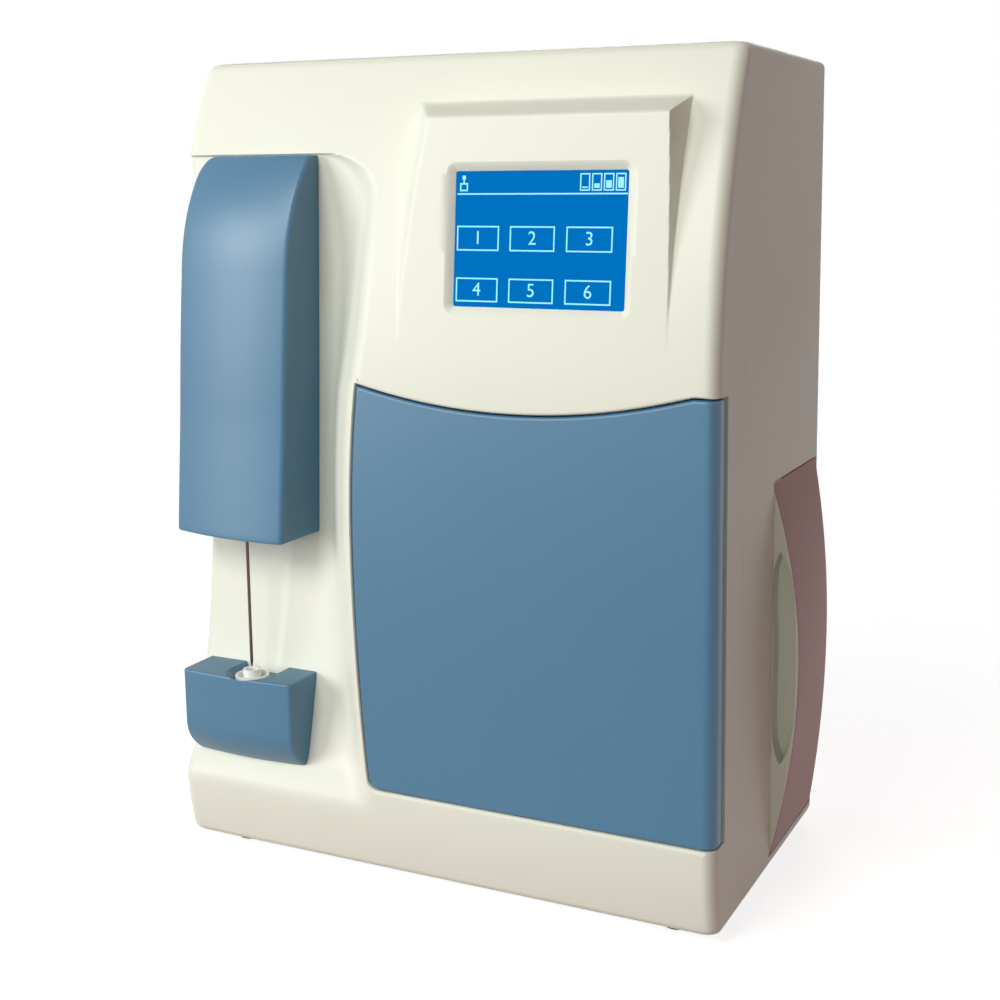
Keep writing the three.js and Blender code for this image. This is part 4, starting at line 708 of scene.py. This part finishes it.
# ---------------------------------------------------------------- casing

ACROSS = spread(
    (-130, -62, 3), (-62, -27, 0.9), (-27, -14, 2.6), (-14, 4, 0.9), (4, 110, 5),
    (110, 121, 0.5), (121, 130, 2.2),
)
UP = spread(
    (0, 5, 0.6), (5, 38, 2.6), (38, 170, 4), (170, 246, 4), (246, 330, 2.6), (330, 357, 1),
    (357, 366, 1.6), (366, 378, 0.6), (378, 396, 2), (396, 400, 0.5),
)


def casing_ring(z, level, inset, across):
    """The casing's outline at a level, drawn in by an inset and set at the height z."""
    draw = inset + edge_draw(level)
    half = half_at(level) - draw
    rounds = (FRONT_ROUND - inset, FRONT_ROUND - inset)
    ring = []
    for x, drop in rounded_run(-half, half, rounds, ROUND_STEPS, across):
        ring.append((x, face_at(x, level) + draw + drop, z))
    rear = rounded(-half, half, 0, DEEP - draw, REAR_ROUND - inset, ROUND_STEPS)
    return ring + [(x, y, z) for x, y in rear[: 2 * ROUND_STEPS + 2]]


def casing_body(name, inset):
    """The casing, or with an inset the hollow in it, which runs out at the bottom."""
    across, levels = ACROSS, UP
    if inset:
        across = ACROSS[::3]
        levels = [z for z in UP if z >= BOTTOM_ROUND][::2] + [HIGH]
    rings = [casing_ring(z - (inset if z > LEAN_START else 0), z, inset, across) for z in levels]
    if inset:
        rings.insert(0, casing_ring(HOLLOW_LOW, BOTTOM_ROUND, inset, across))
    return loft(name, rings)


def door_outline(grow):
    """The door's outline, counter-clockwise from its top right, running far out at the right."""
    low = DOOR_LOW - grow
    right = HALF + DOOR_PAST

    def top(x):
        arc = SMILE_Z + SMILE_RADIUS - math.sqrt(SMILE_RADIUS**2 - (x - SMILE_X) ** 2)
        return min(arc, DOOR_HIGH) + grow

    def left(z):
        return door_left(z) - grow

    flat_x = SMILE_X + math.sqrt(2 * SMILE_RADIUS * (DOOR_HIGH - SMILE_Z))
    corner_x = left(top(left(DOOR_HIGH)))
    foot_z = low + DOOR_CORNER
    points = [(right, top(HALF))]
    points += [(x, top(x)) for x in evenly(flat_x, corner_x, OUTLINE_STEPS)]
    points += [(left(z), z) for z in evenly(top(corner_x), foot_z, OUTLINE_STEPS)[1:]]
    points += [(left(foot_z) + along, low + drop) for along, drop in quarter(DOOR_CORNER, 6)[1:]]
    return points + [(right, low)]


def hinge_x(z):
    return half_at(z) - HINGE


def hinge_rod(name, radius, low, high, sides=64):
    levels = [(z, circle(hinge_x(z), HINGE, radius, sides)) for z in (low, high)]
    return prism(name, None, "z", levels)


def on_screen(points):
    """From the screen's own frame (x across, y into the casing, z up its face) to its place."""
    turn = np.array(Matrix.Rotation(-math.atan(FIELD_SLOPE), 3, "X"))
    return np.asarray(points, float) @ turn.T + np.array([SCREEN_X, field_at(SCREEN_Z), SCREEN_Z])


def screen_cutter(name):
    rings = []
    for depth, grow in WINDOW_EDGE:
        x, z = SCREEN_WIDE / 2 + grow, SCREEN_HIGH / 2 + grow
        shape = rounded(-x, x, -z, z, SCREEN_CORNER + grow)
        rings.append(on_screen([(u, depth, v) for u, v in shape]))
    return loft(name, rings)


def base_outline(grow):
    """The base plate's outline, grown on all sides."""
    draw = WALL + BASE_MARGIN - grow
    x, front, back = HALF - draw, front_at(0) + draw, DEEP - draw
    corner = [(x, back - BASE_CORNER), (x - BASE_CORNER, back)]
    return [(-x, front), (x, front), *corner, *[(-u, v) for u, v in reversed(corner)]]


def build_casing():
    outer = casing_body("casing_outer", 0)
    front = combine(copy_of(outer, "casing_front"), casing_body("casing_inner", WALL))
    rim_slab = box("rim_slab", z=(BASE_LOW, BASE_LOW + BASE_THICK))
    rim = combine(copy_of(outer, "rim"), rim_slab, "INTERSECT")
    combine(rim, prism("base_cut", base_outline(BASE_GAP), "z", [FAR_LOW, CUT_DEEP]))
    combine(front, rim, "UNION")
    rear = copy_of(front, "casing_rear")
    combine(front, box("rear_half", y=(SEAM, FAR_BACK)))
    combine(rear, box("front_half", y=(FAR_FRONT, SEAM + SEAM_GAP)))

    # The rebate and the hinge's two ears are solid parts of the casing's own form.
    around = prism("around", door_outline(DOOR_GAP + WALL), "y", [FAR_FRONT, REBATE_BACK])
    combine(front, combine(copy_of(outer, "rebate"), around, "INTERSECT"), "UNION")
    for near, far in ((DOOR_HIGH, DOOR_HIGH + EAR_HIGH), (DOOR_LOW, DOOR_LOW - EAR_HIGH)):
        wide = (hinge_x(far) - HINGE - EAR_MARGIN, FAR_SIDE)
        ear_box = box("ear_box", wide, (FAR_FRONT, REBATE_BACK), sorted((near, far)))
        combine(front, combine(copy_of(outer, "ear"), ear_box, "INTERSECT"), "UNION")
    bpy.data.objects.remove(outer)

    edge = flare(DOOR_THICK + DOOR_GAP, OPENING_ROUND)
    opening = [(y, door_outline(DOOR_GAP + grow)) for y, grow in edge]
    combine(front, prism("opening", None, "y", opening))
    combine(front, prism("mouth", rounded(*MOUTH, MOUTH_CORNER), "y", [MOUTH_FRONT, CUT_DEEP]))
    combine(front, hinge_rod("jamb", HINGE + DOOR_GAP, DOOR_LOW - DOOR_GAP, DOOR_HIGH + DOOR_GAP))
    combine(front, hinge_rod("bore", PIN_BORE, DOOR_LOW - PIN_REACH, DOOR_HIGH + PIN_REACH, 32))
    combine(front, screen_cutter("screen_window"))
    for name, x, z, radius in FRONT_HOLES:
        combine(front, prism(name, circle(x, z, radius, 24), "y", [0, CUT_DEEP]))
    combine(rear, box("window", WINDOW_X, (DEEP - 2 * WALL, FAR_BACK), WINDOW_Z))
    bay_y = (PACK_FRONT - BAY_GAP, PACK_BACK + BAY_GAP)
    bay_z = (PACK_LOW - BAY_GAP, PACK_HIGH + BAY_GAP)
    combine(rear, box("bay", (BAY_LEFT, FAR_SIDE), bay_y, bay_z))
    for piece, cad in ((front, "front_cover"), (rear, "main_case")):
        smooth(piece, MOULD_ANGLE)
        dress(piece, "cream_plastic", "casing", cad)


# ---------------------------------------------------------------- door


def left_of_hinge(name, shift):
    edge = [(hinge_x(z) + shift, z) for z in (FAR_LOW, HIGH)]
    points = [(-FAR_SIDE, FAR_LOW), *edge, (-FAR_SIDE, HIGH)]
    return prism(name, points, "y", [FAR_FRONT, CUT_DEEP])


def build_door():
    levels = [(along, door_outline(-drop)) for along, drop in quarter(DOOR_ROUND, 6)]
    levels.append((DOOR_SKIN, door_outline(0)))
    levels += [(y, door_outline(-DOOR_STEP)) for y in (DOOR_SKIN + DOOR_STEP_RUN, DOOR_THICK)]
    leaf = combine(prism("door_panel", None, "y", levels), left_of_hinge("keep", 0), "INTERSECT")
    pocket = prism("pocket", door_outline(-DOOR_SKIN), "y", [DOOR_SKIN, CUT_DEEP])
    combine(leaf, combine(pocket, left_of_hinge("keep", -HINGE - DOOR_SKIN), "INTERSECT"))

    # The hinge edge is a square post with corners as round as its swing in the jamb allows.
    rings = []
    for z, draw in capped(DOOR_LOW, DOOR_HIGH, DOOR_ROUND, FINE_TURNS):
        left, right = half_at(z) - DOOR_THICK + draw, half_at(z) - draw
        rings.append((z, rounded(left, right, draw, DOOR_THICK - draw, POST_CORNER - draw, 12)))
    combine(leaf, prism("post", None, "z", rings), "UNION")
    for low, high in (
        (DOOR_LOW - EAR_HIGH, DOOR_LOW + PIN_REACH),
        (DOOR_HIGH - PIN_REACH, DOOR_HIGH + EAR_HIGH),
    ):
        combine(leaf, hinge_rod("bore", PIN_BORE, low, high, 32))
    smooth(leaf, DOOR_ANGLE)
    dress(leaf, "blue_plastic", "door_leaf", "door")


# ---------------------------------------------------------------- sampler and tray


def sampler_front(z):
    toe = max((SAMPLER_TOE_HIGH - z) / (SAMPLER_TOE_HIGH - SAMPLER_LOW), 0.0)
    curl = CURL * max(z - CURL_START, 0.0) ** CURL_POWER
    return SAMPLER_FRONT - SAMPLER_TOE * toe**SAMPLER_TOE_POWER + curl


def sampler_ring(z, at, inset, back):
    """The cover's bowed outline at the height z, drawn in by an inset and set at another height."""
    share = (z - SAMPLER_LOW) / (SAMPLER_HIGH - SAMPLER_LOW)
    near = max(SHOULDER_ROUND - (SAMPLER_HIGH - z), 0.0)
    shoulder = SHOULDER_DRAW * (SHOULDER_ROUND - math.sqrt(SHOULDER_ROUND**2 - near**2))
    lean = [reach * share**power for reach, power in zip(SAMPLER_LEAN, SAMPLER_POWERS)]
    left = SAMPLER_SIDES[0] + lean[0] + shoulder + inset
    right = SAMPLER_SIDES[1] + lean[1] - inset
    crown = right + inset - SAMPLER_CROWN
    rounds = [radius - inset for radius in SAMPLER_ROUNDS]
    between = evenly(left + rounds[0], right - rounds[1], 18)[1:-1]
    ring = [(right, back, at), (left, back, at)]
    for x, drop in rounded_run(left, right, rounds, 6, between):
        bow = ((x - crown) ** 2 - SAMPLER_CROWN**2) / (2 * SAMPLER_BOW)
        ring.append((x, sampler_front(z) + inset + bow + drop, at))
    return ring


def column_body(name):
    """What lies behind the recessed column's face, for fitting a piece to that face."""
    zs = [COLUMN_LOW + 4 * i for i in range(4)]
    zs += evenly(COLUMN_FOOT_TOP, SAMPLER_HIGH + COLUMN_PAST, 64)
    outline = [(column_at(z) - COLUMN_GAP, z) for z in zs]
    outline += [(FAR_BACK, zs[-1]), (FAR_BACK, zs[0])]
    return prism(name, outline, "x", [-FAR_SIDE, 0])


def probe_rod(name, levels, sides=64):
    """A body about the needle's line, through (height, radius) levels."""
    return prism(name, None, "z", [(z, circle(*PROBE, radius, sides)) for z, radius in levels])


def build_sampler():
    low_edge = quarter(SAMPLER_LOW_ROUND, COARSE_TURNS)
    levels = [(SAMPLER_LOW + rise, draw) for rise, draw in low_edge]
    levels += [(z, 0.0) for z in evenly(SAMPLER_LOW + 4, SAMPLER_HIGH - 2, 60)]
    levels += [(SAMPLER_HIGH - fall, draw) for fall, draw in SAMPLER_LIP]
    body = loft("sampler_cover", [sampler_ring(z, z, draw, CUT_DEEP) for z, draw in levels])
    rings = []
    for z in evenly(SAMPLER_LOW, SAMPLER_HIGH, 40):
        at = z - SAMPLER_WALL if z > SAMPLER_LOW else z + SAMPLER_WALL
        rings.append(sampler_ring(z, at, SAMPLER_WALL, CUT_DEEP + 2))
    combine(body, loft("sampler_inner", rings))
    hole = [(SAMPLER_LOW + side * HOLE_REACH, PROBE_HOLE) for side in (-1, 1)]
    combine(body, probe_rod("probe_hole", hole, 32))
    combine(body, column_body("column"))
    smooth(body, MOULD_ANGLE)
    dress(body, "blue_plastic", "casing", "sampler_housing")


def tray_front(z):
    toe = max(TRAY_TOE_HIGH - z, 0.0) / (TRAY_TOE_HIGH - TRAY_LOW)
    return TRAY_FRONT + TRAY_TOE * toe**TRAY_TOE_POWER


def tray_ring(z, inset):
    left, right = TRAY_SIDES[0] + inset, TRAY_SIDES[1] - inset
    middle, half = (left + right) / 2, (right - left) / 2
    between = evenly(left + TRAY_ROUND, right - TRAY_ROUND, 16)[1:-1]
    ring = [(right, TRAY_BACK, z), (left, TRAY_BACK, z)]
    for x, drop in rounded_run(left, right, (TRAY_ROUND, TRAY_ROUND), 5, between):
        bow = TRAY_BOW * (((x - middle) / half) ** 2 - 1)
        ring.append((x, tray_front(z) + inset + bow + drop, z))
    return ring


def build_tray():
    high = TRAY_HIGH - TRAY_EDGE - TRAY_LOW
    levels = [(TRAY_LOW + high * share**TRAY_CROWDING, 0.0) for share in evenly(0, 1, 30)]
    levels += [(TRAY_HIGH - fall, draw) for draw, fall in quarter(TRAY_EDGE, COARSE_TURNS)[1:]]
    body = loft("tray_body", [tray_ring(z, inset) for z, inset in levels])
    foot, rim = CUP_FOOT + CUP_GAP, CUP_RADIUS + CUP_GAP
    bore = [(CUP_LOW - CUP_GAP, foot), (CUP_RIM, rim), (CUP_BORE_TOP, rim)]
    combine(body, probe_rod("cup_bore", bore))
    combine(body, probe_rod("notch", [(CUP_RIM, rim), (NOTCH_TOP, CUP_RADIUS + NOTCH_GROW)]))
    x, y = PROBE
    slot = []
    for z, half in zip((CUP_RIM, NOTCH_TOP), SLOT_HALVES):
        slot.append((z, rounded(x - half, x + half, y - SLOT_ROUND, SLOT_BACK, SLOT_ROUND)))
    combine(body, prism("slot", None, "z", slot))
    combine(body, prism("drain", circle(x, DRAIN_Z, DRAIN_RADIUS, 32), "y", [y, CUT_DEEP]))
    drain = [(z, DRAIN_RADIUS) for z in (DRAIN_Z - DRAIN_RADIUS, DRAIN_TOP)]
    combine(body, probe_rod("drain_down", drain, 32))
    combine(body, column_body("column"))
    smooth(body, MOULD_ANGLE)
    dress(body, "blue_plastic", "casing", "sample_tray")

    cup = revolve("wash_cup_body", CUP_PROFILE, *PROBE)
    smooth(cup, TURNED_ANGLE, False)
    dress(cup, "white_plastic", "casing", "wash_cup")
    bend = [(x, y + back, DRAIN_Z + up) for back, up in ((0, 3), (0, 1.6), (0.5, 0.5), (1.6, 0))]
    bend.append((x, column_at(CUP_LOW) + SPIGOT_REACH, DRAIN_Z))
    dress(tube("wash_cup_spigot", bend, SPIGOT_RADIUS), "white_plastic", "casing")


def build_needle():
    needle = revolve("needle", NEEDLE_PROFILE, *PROBE, sides=24)
    smooth(needle, TURNED_ANGLE, False)
    needle.data.materials.append(NEEDLE_STEEL)
    dress(needle, "steel", "probe_slider", "sample_probe")


def build_probe_line():
    """The needle's flexible line, which stays clear of the cover's roof at full lift."""
    rings = []
    for number, curve in enumerate(LINE_CURVES):
        a, b, c, d = (np.array(p) for p in curve)
        for t in evenly(0, 1, 12)[1 if number else 0 :]:
            s = 1 - t
            middle = s**3 * a + 3 * s**2 * t * b + 3 * s * t**2 * c + t**3 * d
            along = s**2 * (b - a) + 2 * s * t * (c - b) + t**2 * (d - c)
            along /= np.linalg.norm(along)
            ring = []
            for u, v in circle(0, 0, LINE_RADIUS, 16):
                ring.append((LINE_X + u, middle[0] - v * along[1], middle[1] + v * along[0]))
            rings.append(ring)
    line = loft("probe_line", rings)
    smooth(line, TUBE_ANGLE, False)
    dress(line, "tubing", "probe_slider", "probe_loop")


# ---------------------------------------------------------------- reagent pack's cover


def bulge_at(y, z):
    reach = BULGE_UP if z > BULGE_MIDDLE else BULGE_DOWN
    rise = max(1 - ((z - BULGE_MIDDLE) / reach) ** 2, 0)
    back = (y - PACK_FRONT) / (PACK_BACK - PACK_FRONT)
    bow = COVER_BOW * (1 - (2 * back - 1) ** 2)
    return half_at(z) + BULGE * rise * (1 - BULGE_FADE * back) + bow


def groove_point(side, share, grow):
    """A point (x, z) of the finger groove's outline: a side, and a share of its length."""
    z = GROOVE_LOW - grow + (GROOVE_LONG + 2 * grow) * share
    middle = half_at(z) + GROOVE_SHARE * (bulge_at(PACK_FRONT, z) - half_at(z))
    half = (GROOVE_HALF + grow) * (1 - abs(2 * share - 1) ** GROOVE_POWER)
    return middle + side * half, z


def build_pack_cover():
    between_y = evenly(PACK_FRONT + PACK_EDGE, PACK_BACK - PACK_EDGE, 14)[1:-1]
    between_z = evenly(PACK_LOW + 2, PACK_HIGH - 2, 60)
    rings = []
    for z, draw in capped(PACK_LOW, PACK_HIGH, PACK_ROUND, COARSE_TURNS, between_z):
        front, back = PACK_FRONT + draw, PACK_BACK - draw
        ring = [(COVER_PLANE, front, z)]
        for y, drop in rounded_run(front, back, (PACK_EDGE, PACK_EDGE), 5, between_y):
            ring.append((bulge_at(y, z) - draw - drop, y, z))
        ring.append((COVER_PLANE, back, z))
        rings.append(ring)
    cover = loft("pack_cover", rings)

    levels = []
    shares = evenly(0, 1, 40)
    for y, grow in flare(GROOVE_DEEP, GROOVE_ROUND):
        outline = [groove_point(1, share, grow) for share in shares]
        outline += [groove_point(-1, share, grow) for share in shares[-2:0:-1]]
        levels.append((PACK_FRONT + y, outline))
    combine(cover, prism("groove", None, "y", levels))

    # The bulged skin is mauve; the front face and the groove in it are cream.
    cover.data.materials.clear()
    cover.data.materials.append(LOOKS["mauve_plastic"])
    cover.data.materials.append(LOOKS["cream_plastic"])
    for face in cover.data.polygons:
        x, y, z = np.array(face.center) / MM - SHIFT
        skin = abs(x - bulge_at(y, z)) < SKIN_NEAR and y > PACK_FRONT + PACK_EDGE / 2
        face.material_index = 0 if skin or y > PACK_FRONT + COVER_LIP else 1
    smooth(cover, MOULD_ANGLE)
    dress(cover, "mauve_plastic", "reagent_pack", "reagent_cover")


# ---------------------------------------------------------------- screen


def build_screen():
    """The lit face: a blue field with outlined boxes, as thin raised shapes, and plain numbers."""
    points, faces, inks = [], [], []
    ink_front, ink_back = GLASS_BACK - INK_PROUD, GLASS_BACK + INK_SUNK

    # Places on the face are shares of its width and height, from its top left.
    def slab(u0, u1, v0, v1, front=ink_front, back=ink_back, ink=1):
        a = len(points)
        x0, x1 = (u0 - 0.5) * SCREEN_WIDE, (u1 - 0.5) * SCREEN_WIDE
        z0, z1 = (0.5 - v1) * SCREEN_HIGH, (0.5 - v0) * SCREEN_HIGH
        corners = ((x0, z0), (x1, z0), (x1, z1), (x0, z1))
        points.extend([(x, y, z) for y in (front, back) for x, z in corners])
        for f in (
            (0, 1, 2, 3), (7, 6, 5, 4), (0, 4, 5, 1), (1, 5, 6, 2), (2, 6, 7, 3), (3, 7, 4, 0)
        ):
            faces.append(tuple(a + i for i in f))
            inks.append(ink)

    def outline(u0, u1, v0, v1, thick=INK_LINE):
        high = thick * SCREEN_WIDE / SCREEN_HIGH
        slab(u0, u1, v0, v0 + high)
        slab(u0, u1, v1 - high, v1)
        slab(u0, u0 + thick, v0 + high, v1 - high)
        slab(u1 - thick, u1, v0 + high, v1 - high)

    bu, bv = SCREEN_BORDER / SCREEN_WIDE, SCREEN_BORDER / SCREEN_HIGH
    slab(-bu, 1 + bu, -bv, 1 + bv, GLASS_BACK, GLASS_BACK + GLASS_THICK, 0)
    slab(0.005, 0.995, 0.16, 0.171)
    outline(0.02, 0.068, 0.085, 0.145)
    slab(0.034, 0.054, 0.03, 0.06)
    slab(0.04, 0.048, 0.06, 0.085)
    for i in range(4):
        u = 0.725 + 0.067 * i
        outline(u, u + 0.057, 0.02, 0.145, 0.007)
        slab(u + 0.013, u + 0.044, 0.115 - 0.022 * i, 0.125)
    for v0, v1 in ((0.4, 0.585), (0.785, 0.965)):
        for u0, u1 in ((0.008, 0.262), (0.326, 0.59), (0.656, 0.92)):
            outline(u0, u1, v0, v1)
    made = mesh_object("screen_face", on_screen(points), faces)
    made.data.materials.append(LOOKS["touch_glass"])
    made.data.materials.append(SCREEN_INK)
    for face, ink in zip(made.data.polygons, inks):
        face.material_index = ink
    dress(made, "touch_glass", "casing", "touch_panel")

    turn = Matrix.Rotation(QUARTER - math.atan(FIELD_SLOPE), 4, "X")
    spots = [(u, v) for v in (0.4925, 0.875) for u in (0.135, 0.458, 0.788)]
    for number, (u, v) in enumerate(spots, 1):
        text = bpy.data.curves.new(f"digit_{number}", "FONT")
        text.body = str(number)
        text.size = DIGIT_HIGH * MM
        text.align_x = "CENTER"
        text.align_y = "CENTER"
        text.extrude = INK_SUNK * MM
        spot = ((u - 0.5) * SCREEN_WIDE, ink_front + INK_SUNK, (0.5 - v) * SCREEN_HIGH)
        label = link(f"digit_{number}", text)
        label.matrix_world = Matrix.Translation(row(on_screen([spot]))[0]) @ turn
        bpy.context.view_layer.update()
        graph = bpy.context.evaluated_depsgraph_get()
        mesh = bpy.data.meshes.new_from_object(label.evaluated_get(graph))
        mesh.transform(label.matrix_world)
        bpy.data.objects.remove(label)
        mesh.materials.clear()
        mesh.materials.append(SCREEN_INK)
        dress(link(f"screen_number_{number}", mesh), "touch_glass", "casing")


# ---------------------------------------------------------------- feet, screws, the rest of the CAD


def build_feet():
    for name, (x, y) in FOOT_PLACES.items():
        foot = revolve(f"rubber_foot_{name}", FOOT_PROFILE, x, y, 48)
        smooth(foot, TURNED_ANGLE, False)
        dress(foot, "rubber_feet", "casing", f"foot_{name}")


def build_screws():
    """Cross-head screws round the back panel, each made upright and then laid to face back."""
    from_start = Matrix.Translation(-Vector(row((0, 0, 0))))
    lay = Matrix.Rotation(-QUARTER, 4, "X")
    for number, (x, z) in enumerate(SCREW_PLACES, 1):
        head = revolve(f"screw_{number}", SCREW_PROFILE, 0, 0, 28)
        combine(head, box("slot_tool", CROSS_LONG, CROSS_WIDE, CROSS_Z))
        combine(head, box("cross_tool", CROSS_WIDE, CROSS_LONG, CROSS_Z))
        to_place = Matrix.Translation(Vector(row((x, SCREW_Y, z))))
        head.data.transform(to_place @ lay @ from_start)
        smooth(head, TURNED_ANGLE, False)
        dress(head, "steel", "casing")


# How far the CAD nodes' edges are softened, by width
SOFT_EDGES = {
    0.25: ("back_panel", "drive_pulley", "idler_pulley"),
    0.3: ("serial_port", "sampler_frame", "bay_frame"),
    0.4: ("base_plate", "power_inlet", "switch_frame", "power_rocker", "lcd_module"),
    0.5: (
        "catch_plate", "pump_rotor", "valve_coil_left", "valve_coil_right", "compartment_liner",
        "reagent_tray", "probe_carriage", "power_supply",
    ),
    0.6: ("pressure_plate",),
    0.7: ("lock_knob", "pump_housing", "valve_block"),
    0.8: (
        "electrode_holder", "electrode_sodium", "electrode_potassium", "electrode_chloride",
        "electrode_reference", "bottle_standard_a", "bottle_standard_b", "bottle_waste",
    ),
}


def dress_cad():
    """Finishes and softened edges on the CAD nodes that are shown as they are."""
    slots = {part["node"]: part["material_slot"] for part in frame["record"]["subparts"]}
    widths = {name: width for width, names in SOFT_EDGES.items() for name in names}
    for name, shown in frame["nodes"].items():
        if shown.hide_render:
            continue
        shown.data.materials.clear()
        shown.data.materials.append(LOOKS[slots[name]])
        if name in widths:
            soft = shown.modifiers.new("soft_edges", "BEVEL")
            soft.width = widths[name] * MM
            soft.segments = 3
            soft.limit_method = "ANGLE"
            soft.angle_limit = math.radians(SOFT_ANGLE)
            soft.harden_normals = False
        for face in shown.data.polygons:
            face.use_smooth = True
        shown.data.set_sharp_from_angle(angle=math.radians(CAD_ANGLE))


build_casing()
build_door()
build_sampler()
build_tray()
build_needle()
build_probe_line()
build_pack_cover()
build_screen()
build_feet()
build_screws()
dress_cad()


# ---------------------------------------------------------------- camera, floor and light

# Colours as the camera and reflections see them, and as they light the object
FLOOR_SEEN = (0.5, 0.5, 0.5, 1)
FLOOR_GLOW = 0.8
FLOOR_LIGHTING = (0.42, 0.31, 0.3, 1)
ROOM_LIGHTING = (1, 0.8, 0.76, 1)
ROOM_POWER = 0.06
WHITE = (1, 1, 1, 1)


def build_camera():
    turn, dip, roll = (math.radians(a) for a in (CAMERA_TURN, CAMERA_DIP, CAMERA_ROLL))
    level = np.array([-math.sin(turn), math.cos(turn), 0.0])
    ahead = level * math.cos(dip) - np.array([0.0, 0.0, math.sin(dip)])
    right = np.array([math.cos(turn), math.sin(turn), 0.0])
    up = np.cross(right, ahead)
    rolled_right = right * math.cos(roll) + up * math.sin(roll)
    rolled_up = -right * math.sin(roll) + up * math.cos(roll)
    data = bpy.data.cameras.new("camera")
    data.sensor_width = SENSOR
    data.lens = CAMERA_REACH * SENSOR
    data.clip_start = 0.01
    data.clip_end = 30
    made = link("camera", data)
    place = Matrix((rolled_right, rolled_up, -ahead)).transposed().to_4x4()
    place.translation = row(CAMERA_PLACE)
    made.matrix_world = place
    scene.camera = made


def seen_rays(tree):
    """1 for camera, glossy and transmission rays, 0 for the light that falls on the object."""
    path = tree.nodes.new("ShaderNodeLightPath")
    first = tree.nodes.new("ShaderNodeMath")
    first.operation = "MAXIMUM"
    both = tree.nodes.new("ShaderNodeMath")
    both.operation = "MAXIMUM"
    tree.links.new(path.outputs["Is Camera Ray"], first.inputs[0])
    tree.links.new(path.outputs["Is Glossy Ray"], first.inputs[1])
    tree.links.new(first.outputs["Value"], both.inputs[0])
    tree.links.new(path.outputs["Is Transmission Ray"], both.inputs[1])
    return both.outputs["Value"]


def build_floor():
    """A pale floor that fades out round the object and throws little light back on it."""
    reach, fade_start, fade_end = 3.0, 0.22, 0.6
    mesh = bpy.data.meshes.new("floor")
    corners = [(-reach, -reach, 0), (reach, -reach, 0), (reach, reach, 0), (-reach, reach, 0)]
    mesh.from_pydata(corners, [], [(0, 1, 2, 3)])
    floor = link("floor", mesh)
    made = bpy.data.materials.new("pale_floor")
    made.use_nodes = True
    tree = made.node_tree
    tree.nodes.clear()
    out = tree.nodes.new("ShaderNodeOutputMaterial")
    body = node(tree, "ShaderNodeBsdfDiffuse", Color=FLOOR_SEEN)
    glow = node(tree, "ShaderNodeEmission", Color=WHITE, Strength=FLOOR_GLOW)
    seen = tree.nodes.new("ShaderNodeAddShader")
    dull = node(tree, "ShaderNodeBsdfDiffuse", Color=FLOOR_LIGHTING)
    pick = tree.nodes.new("ShaderNodeMixShader")
    clear = tree.nodes.new("ShaderNodeBsdfTransparent")
    mix = tree.nodes.new("ShaderNodeMixShader")
    place = tree.nodes.new("ShaderNodeTexCoord")
    far = node(tree, "ShaderNodeVectorMath")
    far.operation = "LENGTH"
    fade = node(tree, "ShaderNodeMapRange")
    fade.interpolation_type = "SMOOTHSTEP"
    fade.inputs["From Min"].default_value = fade_start
    fade.inputs["From Max"].default_value = fade_end
    tree.links.new(body.outputs["BSDF"], seen.inputs[0])
    tree.links.new(glow.outputs["Emission"], seen.inputs[1])
    tree.links.new(seen_rays(tree), pick.inputs["Fac"])
    tree.links.new(dull.outputs["BSDF"], pick.inputs[1])
    tree.links.new(seen.outputs["Shader"], pick.inputs[2])
    tree.links.new(place.outputs["Object"], far.inputs[0])
    tree.links.new(far.outputs["Value"], fade.inputs["Value"])
    tree.links.new(fade.outputs["Result"], mix.inputs["Fac"])
    tree.links.new(pick.outputs["Shader"], mix.inputs[1])
    tree.links.new(clear.outputs["BSDF"], mix.inputs[2])
    tree.links.new(mix.outputs["Shader"], out.inputs["Surface"])
    mesh.materials.append(made)


def lamp(name, place, aim, size, power, colour):
    data = bpy.data.lights.new(name, "AREA")
    data.shape = "SQUARE"
    data.size = size
    data.energy = power
    data.color = colour
    made = link(name, data)
    made.location = place
    made.rotation_mode = "QUATERNION"
    made.rotation_quaternion = (Vector(aim) - Vector(place)).to_track_quat("-Z", "Y")


def build_light():
    lamp("key", (-0.2, -1.22, 1.0), (0, -0.05, 0.26), 0.5, 9.6, (1.0, 0.985, 0.955))
    lamp("left_panel", (-0.95, -1.05, 0.48), (-0.05, -0.05, 0.26), 0.6, 10.0, (0.97, 0.99, 1.0))
    lamp("fill", (0.42, -1.42, 0.42), (0.1, 0, 0.2), 0.7, 2.5, (1.0, 0.97, 0.93))
    lamp("side", (1.5, 0.2, 0.7), (0.1, 0, 0.3), 0.8, 1.9, (1.0, 0.56, 0.51))
    lamp("behind", (-0.35, 1.5, 0.7), (0, 0.1, 0.25), 0.8, 9.0, (1.0, 0.99, 0.97))
    world = bpy.data.worlds.new("studio")
    scene.world = world
    world.use_nodes = True
    tree = world.node_tree
    tree.nodes.clear()
    out = tree.nodes.new("ShaderNodeOutputWorld")
    seen = node(tree, "ShaderNodeBackground", Color=WHITE, Strength=1.0)
    around = node(tree, "ShaderNodeBackground", Color=ROOM_LIGHTING, Strength=ROOM_POWER)
    mix = tree.nodes.new("ShaderNodeMixShader")
    tree.links.new(seen_rays(tree), mix.inputs["Fac"])
    tree.links.new(around.outputs["Background"], mix.inputs[1])
    tree.links.new(seen.outputs["Background"], mix.inputs[2])
    tree.links.new(mix.outputs["Shader"], out.inputs["Surface"])


build_camera()
build_floor()
build_light()
scene.view_settings.view_transform = "Standard"
